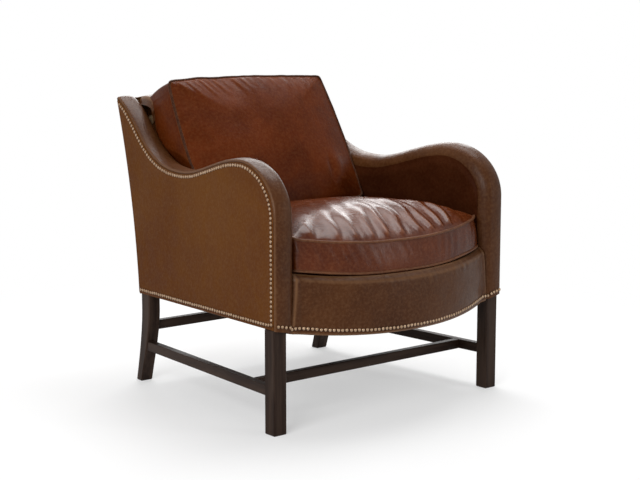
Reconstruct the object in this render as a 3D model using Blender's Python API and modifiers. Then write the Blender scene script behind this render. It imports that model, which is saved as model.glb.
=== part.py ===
"""Worn club chair with rolled, S-curved arms, a bowed front and two loose crowned cushions.

X runs across the chair, Y from front to back and Z up from the floor, in metres.
"""
import math

import bmesh
import bpy

# Overall plan of the upholstered body
HALF_FRONT = 0.380          # outer face of an arm at the front corner
FRONT_Y = -0.002            # front corner, measured from the front face of the front legs
SIDE_TAPER = math.radians(3.93)   # each side leans in towards the back
HEM_FRONT = 0.2565          # bottom edge of the leather at the front corner
HEM_REAR = 0.2465           # and at the back corner
BACK_Y = 0.6522             # outer face of the back at the back hem
BACK_RAKE = 0.0706          # slope of the back at the hem
BACK_BOW = 0.2613           # growth of that slope upwards
ORIGIN_Y = 0.3393           # middle of the chair's depth, where its own origin lies
GAP = 0.0003                # between pieces that touch
PANEL = 0.004               # stiffened leather of the outer sides and back

# Arm roll: the edge is the seam between the outer panel and the roll
ARM_WIDTH = 0.072           # across the roll
WING_WIDTH = 0.069          # across its narrower top end
ROLL_CROWN = 0.009          # rise of the roll over its edge
ROLL_DEPTH = 0.018          # padding under the edge
ROLL_LEVEL = 0.0412         # across the roll, where its crown is highest
ARM_SPRING_Z = 0.518        # where the front stops being upright
HUMP_U, HUMP_Z = 0.148, 0.643     # top of the arm
DIP_U, DIP_Z = 0.423, 0.592       # lowest place, in front of the back
WING_U, WING_Z = 0.6345, 0.6683   # half way up the wing
WING_SLOPE = 0.95
TOP_Z = 0.766               # edge at the outer top corner of the back
TOP_SLOPE = 0.35

# Legs and stretchers
LEG = 0.038                 # square front leg
LEG_OUTER = 0.3768          # outer face of a front leg
LEG_EASE = 0.0025           # eased corners
POST_IN_FRONT = 0.0185      # how far the hidden top of the front leg is cut back
POST_IN_SIDE = 0.0045
BACK_LEG = 0.036            # back leg, across
BACK_LEG_INSET = 0.0048     # from the outer face of the side
BACK_LEG_FOOT = 0.028       # back leg, front to back, on the floor
BACK_LEG_SEAT = 0.0415      # at the hem
BACK_LEG_TOP = 0.026        # at the crest
BACK_LEG_KICK = 0.037       # how far the foot goes back
KICK_Z = 0.200              # where the kick starts
POST_TOP = 0.716
STRETCHER_LOW, STRETCHER_HIGH = 0.0913, 0.1164
STRETCHER_THICK = 0.0208
STRETCHER_INSET = 0.0078    # from the outer face of the side
CROSS_Y = 0.1076            # front face of the cross stretcher
CROSS_THICK = 0.0189
BACK_STRETCHER_LOW, BACK_STRETCHER_HIGH = 0.1459, 0.1719
BACK_STRETCHER_THICK = 0.020
BACK_STRETCHER_SET_IN = 0.010     # from the rear faces of the back legs

# Seat frame
RAIL_LOW, RAIL_TOP = 0.262, 0.350
RAIL_THICK = 0.022
MID_RAIL_LOW, MID_RAIL_HIGH = 0.440, 0.500
CREST_RAIL = 0.060          # height of the crest rail at its ends
FRAME_EASE = 0.0015         # eased edges of rails and stretchers
BLOCK = 0.055               # long side of a corner block
BLOCK_SHORT = 0.0385        # and its short side
BLOCK_LOW, BLOCK_TOP = 0.268, 0.320
BLOCK_SHY = 0.0012          # space between a block and the rail beside it
SHEET = 0.0025              # dust cover
SHEET_INSET = 0.006         # from the outer faces of the rails
SHEET_SHY = 0.0015          # from the legs
FRAME_BOARD = 0.022         # thickness of an arm frame
FRAME_BORDER = 0.052        # wood left around its window
BOARD_SHY = 0.0012          # between an arm frame and the back leg
WINDOW_SLOPE = 0.012        # how far the window's rear edge and top lean
BACK_HEIGHTS = (RAIL_TOP, 0.450, 0.550, 0.650, POST_TOP)   # where the back's curve is drawn
SPRINGS = 4
SPRING_PITCH = 0.105
SPRING_WIRE = 0.0019        # wire radius
SPRING_WIDTH = 0.044
SPRING_WAVES = 11
DECK_LOW = RAIL_TOP + 2 * SPRING_WIRE + 2 * GAP
DECK_TOP = 0.3662
DECK_SHY = 0.001            # between the deck and the inside back

# Bowed front border
BORDER_HALF = 0.3058
BORDER_CORNER_Y = -0.010
BORDER_BOW = 0.075
HEM_CORNER_DROP = 0.012
HEM_DROOP = 0.020
BORDER_PAD = 0.014
BORDER_EDGE = 0.004         # rounding of its hem
BORDER_SWELL = 0.003        # padding that stands out between hem and top
BORDER_ROUND = 0.018        # height of its rounded top
BORDER_TOP = 0.362
BORDER_LIP = 0.030
BORDER_STEPS = 24

# Inside back
BACK_FACE_Y, BACK_FACE_Z = 0.545, 0.368
BACK_FACE_SLOPE = 0.337
CREST_ARCH = 0.018
CREST_RISE = 0.004          # of the back over its outer corners
CREST_FACE = 0.022          # where the inside back starts to roll over
PAD_SHY = 0.0011            # between the inside back and the legs
STEPS = 12                  # stations across the back, the rails and the cushions

# Seat cushion
SEAT_CLEAR = 0.0006         # from its welts to the inner faces of the arms
SEAT_CORNER_Y = 0.012
SEAT_BOW = 0.072
SEAT_TOP_SET_BACK = 0.015
SEAT_REAR_Y = 0.540
SEAT_WELT_LOW, SEAT_WELT_HIGH = 0.386, 0.459
SEAT_WELT_SAG = 0.014       # middle of the front under its corners
SEAT_CORNER_LIFT = 0.005
SEAT_CROWN = 0.056
SEAT_BELLY = 0.009
SEAT_MIDDLE_Y = 0.245       # where the crown is highest
SEAT_PRESSED = 0.42         # share of the crown that the back cushion presses down
SEAT_PUFF = 0.006           # swell of the front boxing
SEAT_FRONT_RADIUS, SEAT_REAR_RADIUS = 0.016, 0.030
CROWN_RINGS = (0.93, 0.84, 0.74, 0.63, 0.51, 0.38, 0.24, 0.10)   # shares of a cushion's outline
WELT_RADIUS = 0.0034
WELT_SEAT = 0.0065          # chamfer of a cushion's edge, where its welt lies

# Back cushion, in the plane of its front face
CUSHION_FOOT_Y, CUSHION_FOOT_Z = 0.420, 0.4860
CUSHION_TILT = math.radians(29.6)
CUSHION_HEIGHT = 0.382
CUSHION_HALF_FOOT, CUSHION_HALF_TOP = 0.2655, 0.2600
CUSHION_DEPTH_FOOT, CUSHION_DEPTH_TOP = 0.134, 0.078
CUSHION_REAR_RISE = 0.082
CUSHION_REAR_WIDTH = 0.970  # of the front's width
CUSHION_CROWN = 0.036
CUSHION_REAR_CROWN = 0.004
CUSHION_TOP_ARCH = 0.006
CUSHION_REAR_TOP = 0.003    # how far the rear seam stands over the front one
CUSHION_FOOT_RADIUS, CUSHION_TOP_RADIUS = 0.035, 0.022

LEATHER = (0.145, 0.060, 0.028)
LEATHER_SIDE = (0.140, 0.065, 0.029)
LEATHER_SEAT = (0.185, 0.052, 0.022)
WOOD_DARK = (0.032, 0.020, 0.014)
WOOD_RAW = (0.42, 0.27, 0.14)
STEEL = (0.30, 0.30, 0.31)
FELT = (0.50, 0.44, 0.35)
CLOTH_BLACK = (0.012, 0.012, 0.013)
LEG_FINISH = (WOOD_DARK, 0.42, 0.0)
FRAME_FINISH = (WOOD_RAW, 0.7, 0.0)
PAD_FINISH = (LEATHER, 0.42, 0.0)
SIDE_FINISH = (LEATHER_SIDE, 0.5, 0.0)
CUSHION_FINISH = (LEATHER_SEAT, 0.34, 0.0)


def clear_scene():
    """Remove every object that the scene starts with."""
    for thing in list(bpy.data.objects):
        bpy.data.objects.remove(thing, do_unlink=True)


def new_material(name, colour, roughness, metallic=0.0):
    """Return a Principled material."""
    material = bpy.data.materials.new(name)
    material.use_nodes = True
    shader = material.node_tree.nodes["Principled BSDF"]
    shader.inputs["Base Color"].default_value = (*colour, 1.0)
    shader.inputs["Roughness"].default_value = roughness
    shader.inputs["Metallic"].default_value = metallic
    material.diffuse_color = (*colour, 1.0)
    return material


def add_object(name, data, finish, location=(0, 0, 0), rotation=(0, 0, 0)):
    """Link an object with its own material under the chair's empty."""
    thing = bpy.data.objects.new(name, data)
    CHAIR.objects.link(thing)
    thing.location = location
    thing.rotation_euler = rotation
    thing.parent = ROOT
    colour, roughness, metallic = finish
    data.materials.append(new_material(name, colour, roughness, metallic))
    return thing


def loft(name, rings, finish, location=(0, 0, 0), rotation=(0, 0, 0), sharp=35.0, strips=False):
    """Join rings of equal length into one closed skin, its ends closed by a fan or by strips."""
    shape = bmesh.new()
    rows = [[shape.verts.new(point) for point in ring] for ring in rings]
    count = len(rows[0])
    for lower, upper in zip(rows, rows[1:]):
        for i in range(count):
            j = (i + 1) % count
            shape.faces.new((lower[i], lower[j], upper[j], upper[i]))
    for row in (rows[0], rows[-1]):
        if strips:
            for i in range(count // 2 - 1):
                shape.faces.new((row[i], row[i + 1], row[count - 2 - i], row[count - 1 - i]))
        else:
            shape.faces.new(row)
    bmesh.ops.triangulate(shape, faces=[face for face in shape.faces if len(face.verts) > 4])
    bmesh.ops.recalc_face_normals(shape, faces=shape.faces)
    mesh = bpy.data.meshes.new(name)
    shape.to_mesh(mesh)
    shape.free()
    mesh.shade_smooth()
    mesh.set_sharp_from_angle(angle=math.radians(sharp))
    return add_object(name, mesh, finish, location, rotation)


def ease_edges(thing, width, segments=1):
    """Round the edges of a wooden piece."""
    bevel = thing.modifiers.new("eased edges", "BEVEL")
    bevel.width = width
    bevel.segments = segments
    bevel.limit_method = "ANGLE"
    bevel.angle_limit = math.radians(40)


def side_place(side):
    """Location and rotation of the frame that lies in one tapered side."""
    return (side * HALF_FRONT, FRONT_Y, 0), (0, 0, side * SIDE_TAPER)


def side_xy(side, u, v):
    """Chair coordinates of a place U back along a side and V in from its outer face."""
    x = HALF_FRONT - u * math.sin(SIDE_TAPER) - v * math.cos(SIDE_TAPER)
    y = FRONT_Y + u * math.cos(SIDE_TAPER) - v * math.sin(SIDE_TAPER)
    return side * x, y


def side_u(y, v=0.0):
    """How far back along a side the depth Y is reached."""
    return (y - FRONT_Y + v * math.sin(SIDE_TAPER)) / math.cos(SIDE_TAPER)


def back_y(z):
    """Outer face of the raked back."""
    rise = z - HEM_REAR
    return BACK_Y + BACK_RAKE * rise + BACK_BOW * rise * rise


def hem_z(u):
    """Bottom edge of the leather along a side."""
    return HEM_FRONT + (HEM_REAR - HEM_FRONT) * u / side_u(BACK_Y)


def blend(a, b, t):
    """Straight blend of two numbers."""
    return a + (b - a) * t


def smooth(t):
    """Soft step from 0 to 1."""
    t = min(max(t, 0.0), 1.0)
    return t * t * (3 - 2 * t)


def curve_between(start, start_slope, end, end_slope, steps):
    """Points of a cubic between two places with the given slopes, without the first."""
    (u0, z0), (u1, z1) = start, end
    span = u1 - u0
    points = []
    for i in range(1, steps + 1):
        t = i / steps
        blend_end = t * t * (3 - 2 * t)
        rise = z0 * (1 - blend_end) + z1 * blend_end
        rise += span * start_slope * t * (1 - t) ** 2 - span * end_slope * t * t * (1 - t)
        points.append((u0 + span * t, rise))
    return points


def arm_edge():
    """The S-curved seam of an arm in its side's plane, from the front hem to the back."""
    points = [(0.0, blend(HEM_FRONT, ARM_SPRING_Z, i / 5)) for i in range(6)]
    for i in range(1, 10):
        angle = math.radians(10 * i)
        rise = (HUMP_Z - ARM_SPRING_Z) * math.sin(angle)
        points.append((HUMP_U * (1 - math.cos(angle)), ARM_SPRING_Z + rise))
    top = (side_u(back_y(TOP_Z) - PANEL - GAP), TOP_Z)
    points += curve_between((HUMP_U, HUMP_Z), 0.0, (DIP_U, DIP_Z), 0.0, 8)
    points += curve_between((DIP_U, DIP_Z), 0.0, (WING_U, WING_Z), WING_SLOPE, 7)
    points += curve_between((WING_U, WING_Z), WING_SLOPE, top, TOP_SLOPE, 5)
    return points


def outward(points):
    """Unit normals of an open run of points, to its left-hand side."""
    normals = []
    last = len(points) - 1
    for i in range(last + 1):
        before, after = points[max(i - 1, 0)], points[min(i + 1, last)]
        du, dz = after[0] - before[0], after[1] - before[1]
        length = math.hypot(du, dz)
        normals.append((-dz / length, du / length))
    return normals


def offset_edge(distance):
    """The arm's seam moved outwards by a distance, or inwards if it is negative."""
    points = arm_edge()
    moved = []
    for (u, z), (nu, nz) in zip(points, outward(points)):
        moved.append((u + distance * nu, z + distance * nz))
    return moved


def roll_section():
    """Half-round section of an arm roll: across it, and out from the seam."""
    flank = PANEL + GAP
    crown = [
        (flank, 0.0),
        (0.0006, 0.0004),
        (0.0018, 0.35 * ROLL_CROWN),
        (0.0090, 0.75 * ROLL_CROWN),
        (0.0210, 0.96 * ROLL_CROWN),
        (ROLL_LEVEL, ROLL_CROWN),
        (0.0520, 0.76 * ROLL_CROWN),
        (0.0640, -0.10 * ROLL_CROWN),
        (ARM_WIDTH, -ROLL_DEPTH * 0.8),
    ]
    return crown + [(max(v, flank + 0.0004), -ROLL_DEPTH) for v, _ in reversed(crown)]


def hem_drop(v):
    """How far the front hem has dropped at a distance in from the outer face."""
    inside = max(0.0, v - ROLL_LEVEL) / (ARM_WIDTH - ROLL_LEVEL)
    return HEM_CORNER_DROP * inside ** 1.5


def arm_roll(name, side):
    """Padded roll that runs up the front of an arm, over it and up the wing."""
    points = arm_edge()
    normals = outward(points)
    lean = BACK_RAKE + 2 * BACK_BOW * (TOP_Z - HEM_REAR)
    normals[-1] = (lean / math.hypot(lean, 1), 1 / math.hypot(lean, 1))
    flank = PANEL + GAP
    dip = next(i for i, point in enumerate(points) if point[0] > DIP_U)
    rings = []
    for i, ((u, z), (nu, nz)) in enumerate(zip(points, normals)):
        narrow = smooth((i - dip) / (len(points) - 1 - dip))
        width = (blend(ARM_WIDTH, WING_WIDTH, narrow) - flank) / (ARM_WIDTH - flank)
        ring = []
        for v, out in roll_section():
            across = flank + (v - flank) * width if v > flank else v
            low = hem_drop(v) if i == 0 else 0.0
            ring.append((-side * across, u + out * nu, z + out * nz - low))
        rings.append(ring)
    return loft(name, rings, PAD_FINISH, *side_place(side), sharp=50, strips=True)


def board(name, side, outline, v_from, v_to, finish, window=None):
    """Flat board in a side's plane from an outline of (u, z) points."""
    curve = bpy.data.curves.new(name, "CURVE")
    curve.dimensions = "2D"
    curve.fill_mode = "BOTH"
    curve.extrude = (v_to - v_from) / 2
    for loop in (outline, window):
        if loop is None:
            continue
        spline = curve.splines.new("POLY")
        spline.points.add(len(loop) - 1)
        for point, (u, z) in zip(spline.points, loop):
            point.co = (u, z, 0, 1)
        spline.use_cyclic_u = True
    x, y = side_xy(side, 0, (v_from + v_to) / 2)
    turn = (math.pi / 2, 0, math.pi / 2 + side * SIDE_TAPER)
    return add_object(name, curve, finish, (x, y, 0), turn)


def back_edge(inset, high):
    """Points down the raked back in a side's plane, INSET in front of its outer face."""
    heights = [high] + list(reversed(BACK_HEIGHTS)) + [HEM_REAR]
    return [(side_u(back_y(z) - inset), z) for z in heights]


def outside_arm_panel(name, side):
    """Leather-covered outer side under the S-curved seam."""
    top = offset_edge(-GAP)
    rear = back_edge(PANEL + GAP, TOP_Z - 0.002)
    board(name, side, top[:-1] + rear, 0.0, PANEL, SIDE_FINISH)


def post_rear(z):
    """Rear face of a back leg at a height."""
    if z >= HEM_REAR:
        return back_y(z) - PANEL - 2 * GAP
    kick = max(0.0, 1 - z / KICK_Z) ** 1.5
    return BACK_Y - PANEL - 2 * GAP + BACK_LEG_KICK * kick


def post_depth(z):
    """Front-to-back size of a back leg at a height."""
    if z < HEM_REAR:
        return blend(BACK_LEG_FOOT, BACK_LEG_SEAT, smooth(z / KICK_Z))
    return blend(BACK_LEG_SEAT, BACK_LEG_TOP, (z - HEM_REAR) / (POST_TOP - HEM_REAR))


def post_front_u(z, v):
    """Where along a side the front face of the back leg lies."""
    return side_u(post_rear(z) - post_depth(z), v)


def front_leg(name, side):
    """Square front leg, with a cut-back top that stands inside the seat frame."""
    inner, outer = side * (LEG_OUTER - LEG), side * LEG_OUTER
    post_outer = side * (LEG_OUTER - POST_IN_SIDE)
    foot = [(inner, 0, 0), (outer, 0, 0), (outer, LEG, 0), (inner, LEG, 0)]
    shoulder = hem_z(side_u(LEG)) - GAP
    upper = [(x, y, shoulder) for x, y, z in foot]
    neck = [(inner, POST_IN_FRONT, shoulder), (post_outer, POST_IN_FRONT, shoulder),
            (post_outer, LEG, shoulder), (inner, LEG, shoulder)]
    top = [(x, y, RAIL_TOP) for x, y, z in neck]
    leg = loft(name, [foot, upper, neck, top], LEG_FINISH, sharp=20)
    ease_edges(leg, LEG_EASE)


def back_leg(name, side):
    """Sabre-shaped back leg that goes on up as the post of the back."""
    heights = [0, 0.03, 0.06, STRETCHER_LOW, STRETCHER_HIGH, BACK_STRETCHER_LOW,
               BACK_STRETCHER_HIGH, KICK_Z, HEM_REAR, RAIL_LOW, *BACK_HEIGHTS]
    rings = []
    for z in heights:
        near, far = BACK_LEG_INSET, BACK_LEG_INSET + BACK_LEG
        rear, depth = post_rear(z), post_depth(z)
        corners = [(near, rear - depth), (far, rear - depth), (far, rear), (near, rear)]
        ring = []
        for v, y in corners:
            ring.append((*side_xy(side, side_u(y, v), v), z))
        rings.append(ring)
    leg = loft(name, rings, LEG_FINISH, sharp=20)
    ease_edges(leg, LEG_EASE)


def beam(name, start, end, finish):
    """Bar between two four-cornered ends."""
    bar = loft(name, [start, end], finish, sharp=20)
    ease_edges(bar, FRAME_EASE)


def side_stretcher(name, side):
    """Low stretcher from a front leg to the back leg behind it."""
    near, far = STRETCHER_INSET, STRETCHER_INSET + STRETCHER_THICK
    start, end = [], []
    for v, z in ((near, STRETCHER_LOW), (far, STRETCHER_LOW),
                 (far, STRETCHER_HIGH), (near, STRETCHER_HIGH)):
        start.append((*side_xy(side, side_u(LEG + GAP, v), v), z))
        end.append((*side_xy(side, post_front_u(z, v) - 2 * GAP, v), z))
    beam(name, start, end, LEG_FINISH)


def cross_stretcher():
    """Stretcher that joins the two side stretchers just behind the front legs."""
    ends = []
    for side in (-1, 1):
        ring = []
        for y, z in ((CROSS_Y, STRETCHER_LOW), (CROSS_Y + CROSS_THICK, STRETCHER_LOW),
                     (CROSS_Y + CROSS_THICK, STRETCHER_HIGH), (CROSS_Y, STRETCHER_HIGH)):
            inner = STRETCHER_INSET + STRETCHER_THICK + GAP
            x, _ = side_xy(side, side_u(y, inner), inner)
            ring.append((x, y, z))
        ends.append(ring)
    beam("cross_stretcher", *ends, LEG_FINISH)


def rail_between_posts(name, low, high, set_in, thick, finish):
    """Straight rail between the back legs, SET_IN in front of their rear faces."""
    ends = []
    inner = BACK_LEG_INSET + BACK_LEG + GAP
    for side in (-1, 1):
        ring = []
        for z, fore in ((low, thick), (low, 0), (high, 0), (high, thick)):
            y = post_rear(z) - set_in - fore
            x, _ = side_xy(side, side_u(y, inner), inner)
            ring.append((x, y, z))
        ends.append(ring)
    beam(name, *ends, finish)


def side_rail(name, side):
    """Seat rail between a front leg's top and the back leg."""
    near = HALF_FRONT - LEG_OUTER + POST_IN_SIDE
    far = near + RAIL_THICK
    start, end = [], []
    for v, z in ((near, RAIL_LOW), (far, RAIL_LOW), (far, RAIL_TOP), (near, RAIL_TOP)):
        start.append((*side_xy(side, side_u(LEG + GAP, v), v), z))
        end.append((*side_xy(side, post_front_u(z, v) - 2 * GAP, v), z))
    beam(name, start, end, FRAME_FINISH)


def border_y(x):
    """Front face of the bowed border at its hem."""
    return BORDER_CORNER_Y - BORDER_BOW * (1 - (x / BORDER_HALF) ** 2)


def border_hem(x):
    """Bottom edge of the bowed border."""
    droop = HEM_DROOP * (1 - abs(x / BORDER_HALF) ** 2.4)
    return HEM_FRONT - HEM_CORNER_DROP - droop


def front_rail():
    """Bowed front rail, behind the padding of the border."""
    rings = []
    leg_inside = LEG_OUTER - LEG - GAP
    places = [-leg_inside, -BORDER_HALF - 2 * GAP]
    places += [BORDER_HALF * (2 * i / STEPS - 1) for i in range(STEPS + 1)]
    places += [BORDER_HALF + 2 * GAP, leg_inside]
    for x in places:
        inset = min(abs(x), BORDER_HALF)
        front = border_y(inset) + BORDER_PAD + GAP
        if abs(x) > BORDER_HALF:
            front = POST_IN_FRONT
        rings.append([(x, front, RAIL_LOW), (x, front + RAIL_THICK, RAIL_LOW),
                      (x, front + RAIL_THICK, RAIL_TOP), (x, front, RAIL_TOP)])
    loft("front_rail", rings, FRAME_FINISH, sharp=20)


def front_border():
    """Padded leather border that bows out between the arms and laps over the rail."""
    rings = []
    for i in range(BORDER_STEPS + 1):
        x = BORDER_HALF * (2 * i / BORDER_STEPS - 1)
        front, hem = border_y(x), border_hem(x)
        rear = front + BORDER_PAD
        section = [
            (rear, hem), (front + BORDER_EDGE, hem), (front, hem + BORDER_EDGE),
            (front - BORDER_SWELL, blend(hem, BORDER_TOP, 0.30)),
            (front - BORDER_SWELL, blend(hem, BORDER_TOP, 0.60)),
            (front, BORDER_TOP - BORDER_ROUND),
            (front + BORDER_ROUND / 3, BORDER_TOP - BORDER_EDGE),
            (front + BORDER_PAD, BORDER_TOP), (front + BORDER_LIP, BORDER_TOP),
            (front + BORDER_LIP, RAIL_TOP + GAP), (rear, RAIL_TOP + GAP),
        ]
        rings.append([(x, y, z) for y, z in section])
    loft("front_border", rings, PAD_FINISH, sharp=50)


def corner_block(name, side, front):
    """Triangular block that stiffens a corner of the seat frame."""
    if front:
        v = HALF_FRONT - LEG_OUTER + POST_IN_SIDE + RAIL_THICK + GAP
        y = LEG + RAIL_THICK + BLOCK_SHY
        corners = [(v, y), (v + BLOCK_SHORT, y), (v, y + BLOCK)]
    else:
        v = BACK_LEG_INSET + BACK_LEG + GAP
        y = post_rear(RAIL_LOW) - RAIL_THICK - BLOCK_SHY
        corners = [(v, y), (v + BLOCK, y), (v, y - BLOCK_SHORT)]
    rings = []
    for z in (BLOCK_LOW, BLOCK_TOP):
        ring = []
        for across, depth in corners:
            ring.append((*side_xy(side, side_u(depth, across), across), z))
        rings.append(ring)
    loft(name, rings, FRAME_FINISH, sharp=20)


def under_roll(v, shy):
    """Outline under an arm roll, from the seat rail up, ending SHY of the back leg."""
    bottom = RAIL_TOP + GAP
    keep = [(u, z) for u, z in offset_edge(-ROLL_DEPTH - GAP)
            if z > bottom and u < post_front_u(z, v) - shy]
    outline = [(keep[0][0], bottom)] + keep
    for i in range(5):
        z = blend(keep[-1][1], bottom, i / 4)
        outline.append((post_front_u(z, v) - shy, z))
    return outline


def arm_frame(name, side):
    """Cut-out board that carries an arm, standing on the seat rail."""
    v_from = PANEL + GAP
    outline = under_roll(v_from, BOARD_SHY)
    low = RAIL_TOP + GAP + FRAME_BORDER
    front, back = outline[0][0] + FRAME_BORDER, outline[-1][0] - FRAME_BORDER
    under = ROLL_DEPTH + FRAME_BORDER
    arch = HUMP_Z - under - WINDOW_SLOPE
    window = [(front, low), (back, low), (back + WINDOW_SLOPE, DIP_Z - under),
              (DIP_U, DIP_Z - under), (HUMP_U + FRAME_BORDER, arch),
              (front + FRAME_BORDER, arch), (front, ARM_SPRING_Z)]
    board(name, side, outline, v_from, v_from + FRAME_BOARD, FRAME_FINISH, window)


def inside_arm_pad(name, side):
    """Padded inner face of an arm, from the frame board to the seat cushion."""
    v_from = PANEL + 2 * GAP + FRAME_BOARD
    board(name, side, under_roll(v_from, BORDER_EDGE), v_from, ARM_WIDTH, PAD_FINISH)


def pad_half(y, clearance=GAP):
    """Half the clear width between the arms' inner faces at a depth."""
    inner = ARM_WIDTH + clearance
    x, _ = side_xy(1, side_u(y, inner), inner)
    return x


def inside_back_pad():
    """Padded inner back that hooks over the crest rail."""
    rings = []
    low = BACK_FACE_Z
    for i in range(STEPS + 1):
        t = 2 * i / STEPS - 1
        arch = CREST_ARCH * (1 - t * t)
        crest = TOP_Z + CREST_RISE + arch
        rail_top = POST_TOP + arch + 2 * GAP
        face_top = TOP_Z - CREST_FACE + arch
        face = BACK_FACE_Y + BACK_FACE_SLOPE * (face_top - low)
        rear = back_y(crest) - PANEL
        section = [
            (BACK_FACE_Y, low), (face, face_top), (face + 0.012, crest - 0.006),
            (rear - 0.036, crest), (rear - 0.012, crest - 0.002), (rear - 0.004, crest - 0.009),
            (post_rear(rail_top), rail_top),
            (post_rear(rail_top) - post_depth(POST_TOP) - PAD_SHY, rail_top),
        ]
        for z in (*reversed(BACK_HEIGHTS[1:-1]), low):
            section.append((post_rear(z) - post_depth(z) - PAD_SHY, z))
        rings.append([(t * pad_half(y), y, z) for y, z in section])
    loft("inside_back_pad", rings, PAD_FINISH, sharp=45)


def crest_rail():
    """Top rail of the back frame, with an arched top edge."""
    rings = []
    inner = BACK_LEG_INSET + BACK_LEG + GAP
    low = POST_TOP - CREST_RAIL
    for i in range(STEPS + 1):
        t = 2 * i / STEPS - 1
        high = POST_TOP + CREST_ARCH * (1 - t * t)
        ring = []
        for z, fore in ((low, 1), (low, 0), (high, 0), (high, 1)):
            y = post_rear(z) - fore * post_depth(POST_TOP)
            x, _ = side_xy(1, side_u(post_rear(low), inner), inner)
            ring.append((t * min(x, pad_half(post_rear(high))), y, z))
        rings.append(ring)
    loft("crest_rail", rings, FRAME_FINISH, sharp=20)


def outside_back_panel():
    """Leather-covered outer back, from the hem to the arched top."""
    rings = []
    corner = side_xy(1, side_u(BACK_Y), 0)[0]
    for i in range(STEPS + 1):
        t = 2 * i / STEPS - 1
        arch = CREST_ARCH * (1 - min(1.0, abs(t) * corner / pad_half(BACK_Y)) ** 2)
        ring = []
        heights = [HEM_REAR, *BACK_HEIGHTS, TOP_Z + CREST_RISE + arch]
        for z in heights:
            x, _ = side_xy(1, side_u(back_y(z)), 0)
            ring.append((t * x, back_y(z), z))
        for z in reversed(heights):
            x, _ = side_xy(1, side_u(back_y(z)), 0)
            ring.append((t * x, back_y(z) - PANEL, z))
        rings.append(ring)
    panel = loft("outside_back_panel", rings, SIDE_FINISH, sharp=50)
    ease_edges(panel, FRAME_EASE)


def seat_deck_pad():
    """Felted deck under the seat cushion, over the springs."""
    rear = BACK_FACE_Y - DECK_SHY
    front_half = pad_half(BORDER_CORNER_Y + BORDER_LIP, DECK_SHY)
    rings = []
    for z in (DECK_LOW, DECK_TOP):
        ring = []
        for i in range(STEPS + 1):
            x = min(BORDER_HALF, front_half) * (2 * i / STEPS - 1)
            ring.append((x, border_y(x) + BORDER_LIP + GAP, z))
        half = pad_half(rear, DECK_SHY)
        ring += [(half, rear, z), (-half, rear, z)]
        rings.append(ring)
    loft("seat_deck_pad", rings, (FELT, 0.95, 0.0), sharp=20)


def dust_cover():
    """Thin black cloth sheet stapled under the seat rails."""
    v = HALF_FRONT - LEG_OUTER + POST_IN_SIDE + SHEET_INSET
    front = LEG + SHEET_SHY
    rear = post_rear(RAIL_LOW) - post_depth(RAIL_LOW) - SHEET_SHY
    bow_half = BORDER_HALF - 2 * SHEET_INSET
    rings = []
    for z in (RAIL_LOW - GAP - SHEET, RAIL_LOW - GAP):
        ring = []
        for i in range(STEPS + 1):
            x = bow_half * (2 * i / STEPS - 1)
            ring.append((x, border_y(x) + BORDER_PAD + SHEET_INSET, z))
        ring.append((bow_half, front, z))
        for side, y in ((1, front), (1, rear), (-1, rear), (-1, front)):
            x, _ = side_xy(side, side_u(y, v), v)
            ring.append((x, y, z))
        ring.append((-bow_half, front, z))
        rings.append(ring)
    loft("dust_cover", rings, (CLOTH_BLACK, 0.95, 0.0), sharp=20)


def wire(name, points, radius, finish, closed=False, sides=2):
    """Round wire or cord along a run of points."""
    curve = bpy.data.curves.new(name, "CURVE")
    curve.dimensions = "3D"
    curve.bevel_depth = radius
    curve.bevel_resolution = sides
    curve.use_fill_caps = not closed
    spline = curve.splines.new("POLY")
    spline.points.add(len(points) - 1)
    for place, point in zip(spline.points, points):
        place.co = (*point, 1)
    spline.use_cyclic_u = closed
    return add_object(name, curve, finish)


def sinuous_spring(name, x):
    """Zigzag seat spring from the front rail to the back rail."""
    start = border_y(x) + BORDER_LIP + SPRING_WIRE + DECK_SHY
    end = post_rear(RAIL_TOP) - RAIL_THICK / 2
    z = RAIL_TOP + SPRING_WIRE + GAP
    straight = 0.32
    points = []
    for i in range(SPRING_WAVES + 1):
        edge = SPRING_WIDTH / 2 * (-1) ** i
        if i > 0:
            points.append((x + edge, blend(start, end, (i - straight) / SPRING_WAVES), z))
        if i < SPRING_WAVES:
            points.append((x + edge, blend(start, end, (i + straight) / SPRING_WAVES), z))
    wire(name, points, SPRING_WIRE, (STEEL, 0.35, 1.0), sides=1)


def fillet(corners, steps=4):
    """Closed outline from (x, y, radius) corners, given anticlockwise."""
    outline = []
    count = len(corners)
    for i, (x, y, radius) in enumerate(corners):
        if radius == 0:
            outline.append((x, y))
            continue
        px, py, _ = corners[i - 1]
        nx, ny, _ = corners[(i + 1) % count]
        back = math.hypot(px - x, py - y)
        ahead = math.hypot(nx - x, ny - y)
        a = (x + (px - x) / back * radius, y + (py - y) / back * radius)
        b = (x + (nx - x) / ahead * radius, y + (ny - y) / ahead * radius)
        for j in range(steps + 1):
            t = j / steps
            outline.append((
                a[0] * (1 - t) ** 2 + 2 * x * t * (1 - t) + b[0] * t * t,
                a[1] * (1 - t) ** 2 + 2 * y * t * (1 - t) + b[1] * t * t,
            ))
    return outline


def inset_outline(outline, distance):
    """The outline moved inwards."""
    moved = []
    count = len(outline)
    for i, (x, y) in enumerate(outline):
        before, after = outline[i - 1], outline[(i + 1) % count]
        dx, dy = after[0] - before[0], after[1] - before[1]
        length = math.hypot(dx, dy)
        moved.append((x - dy / length * distance, y + dx / length * distance))
    return moved


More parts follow.
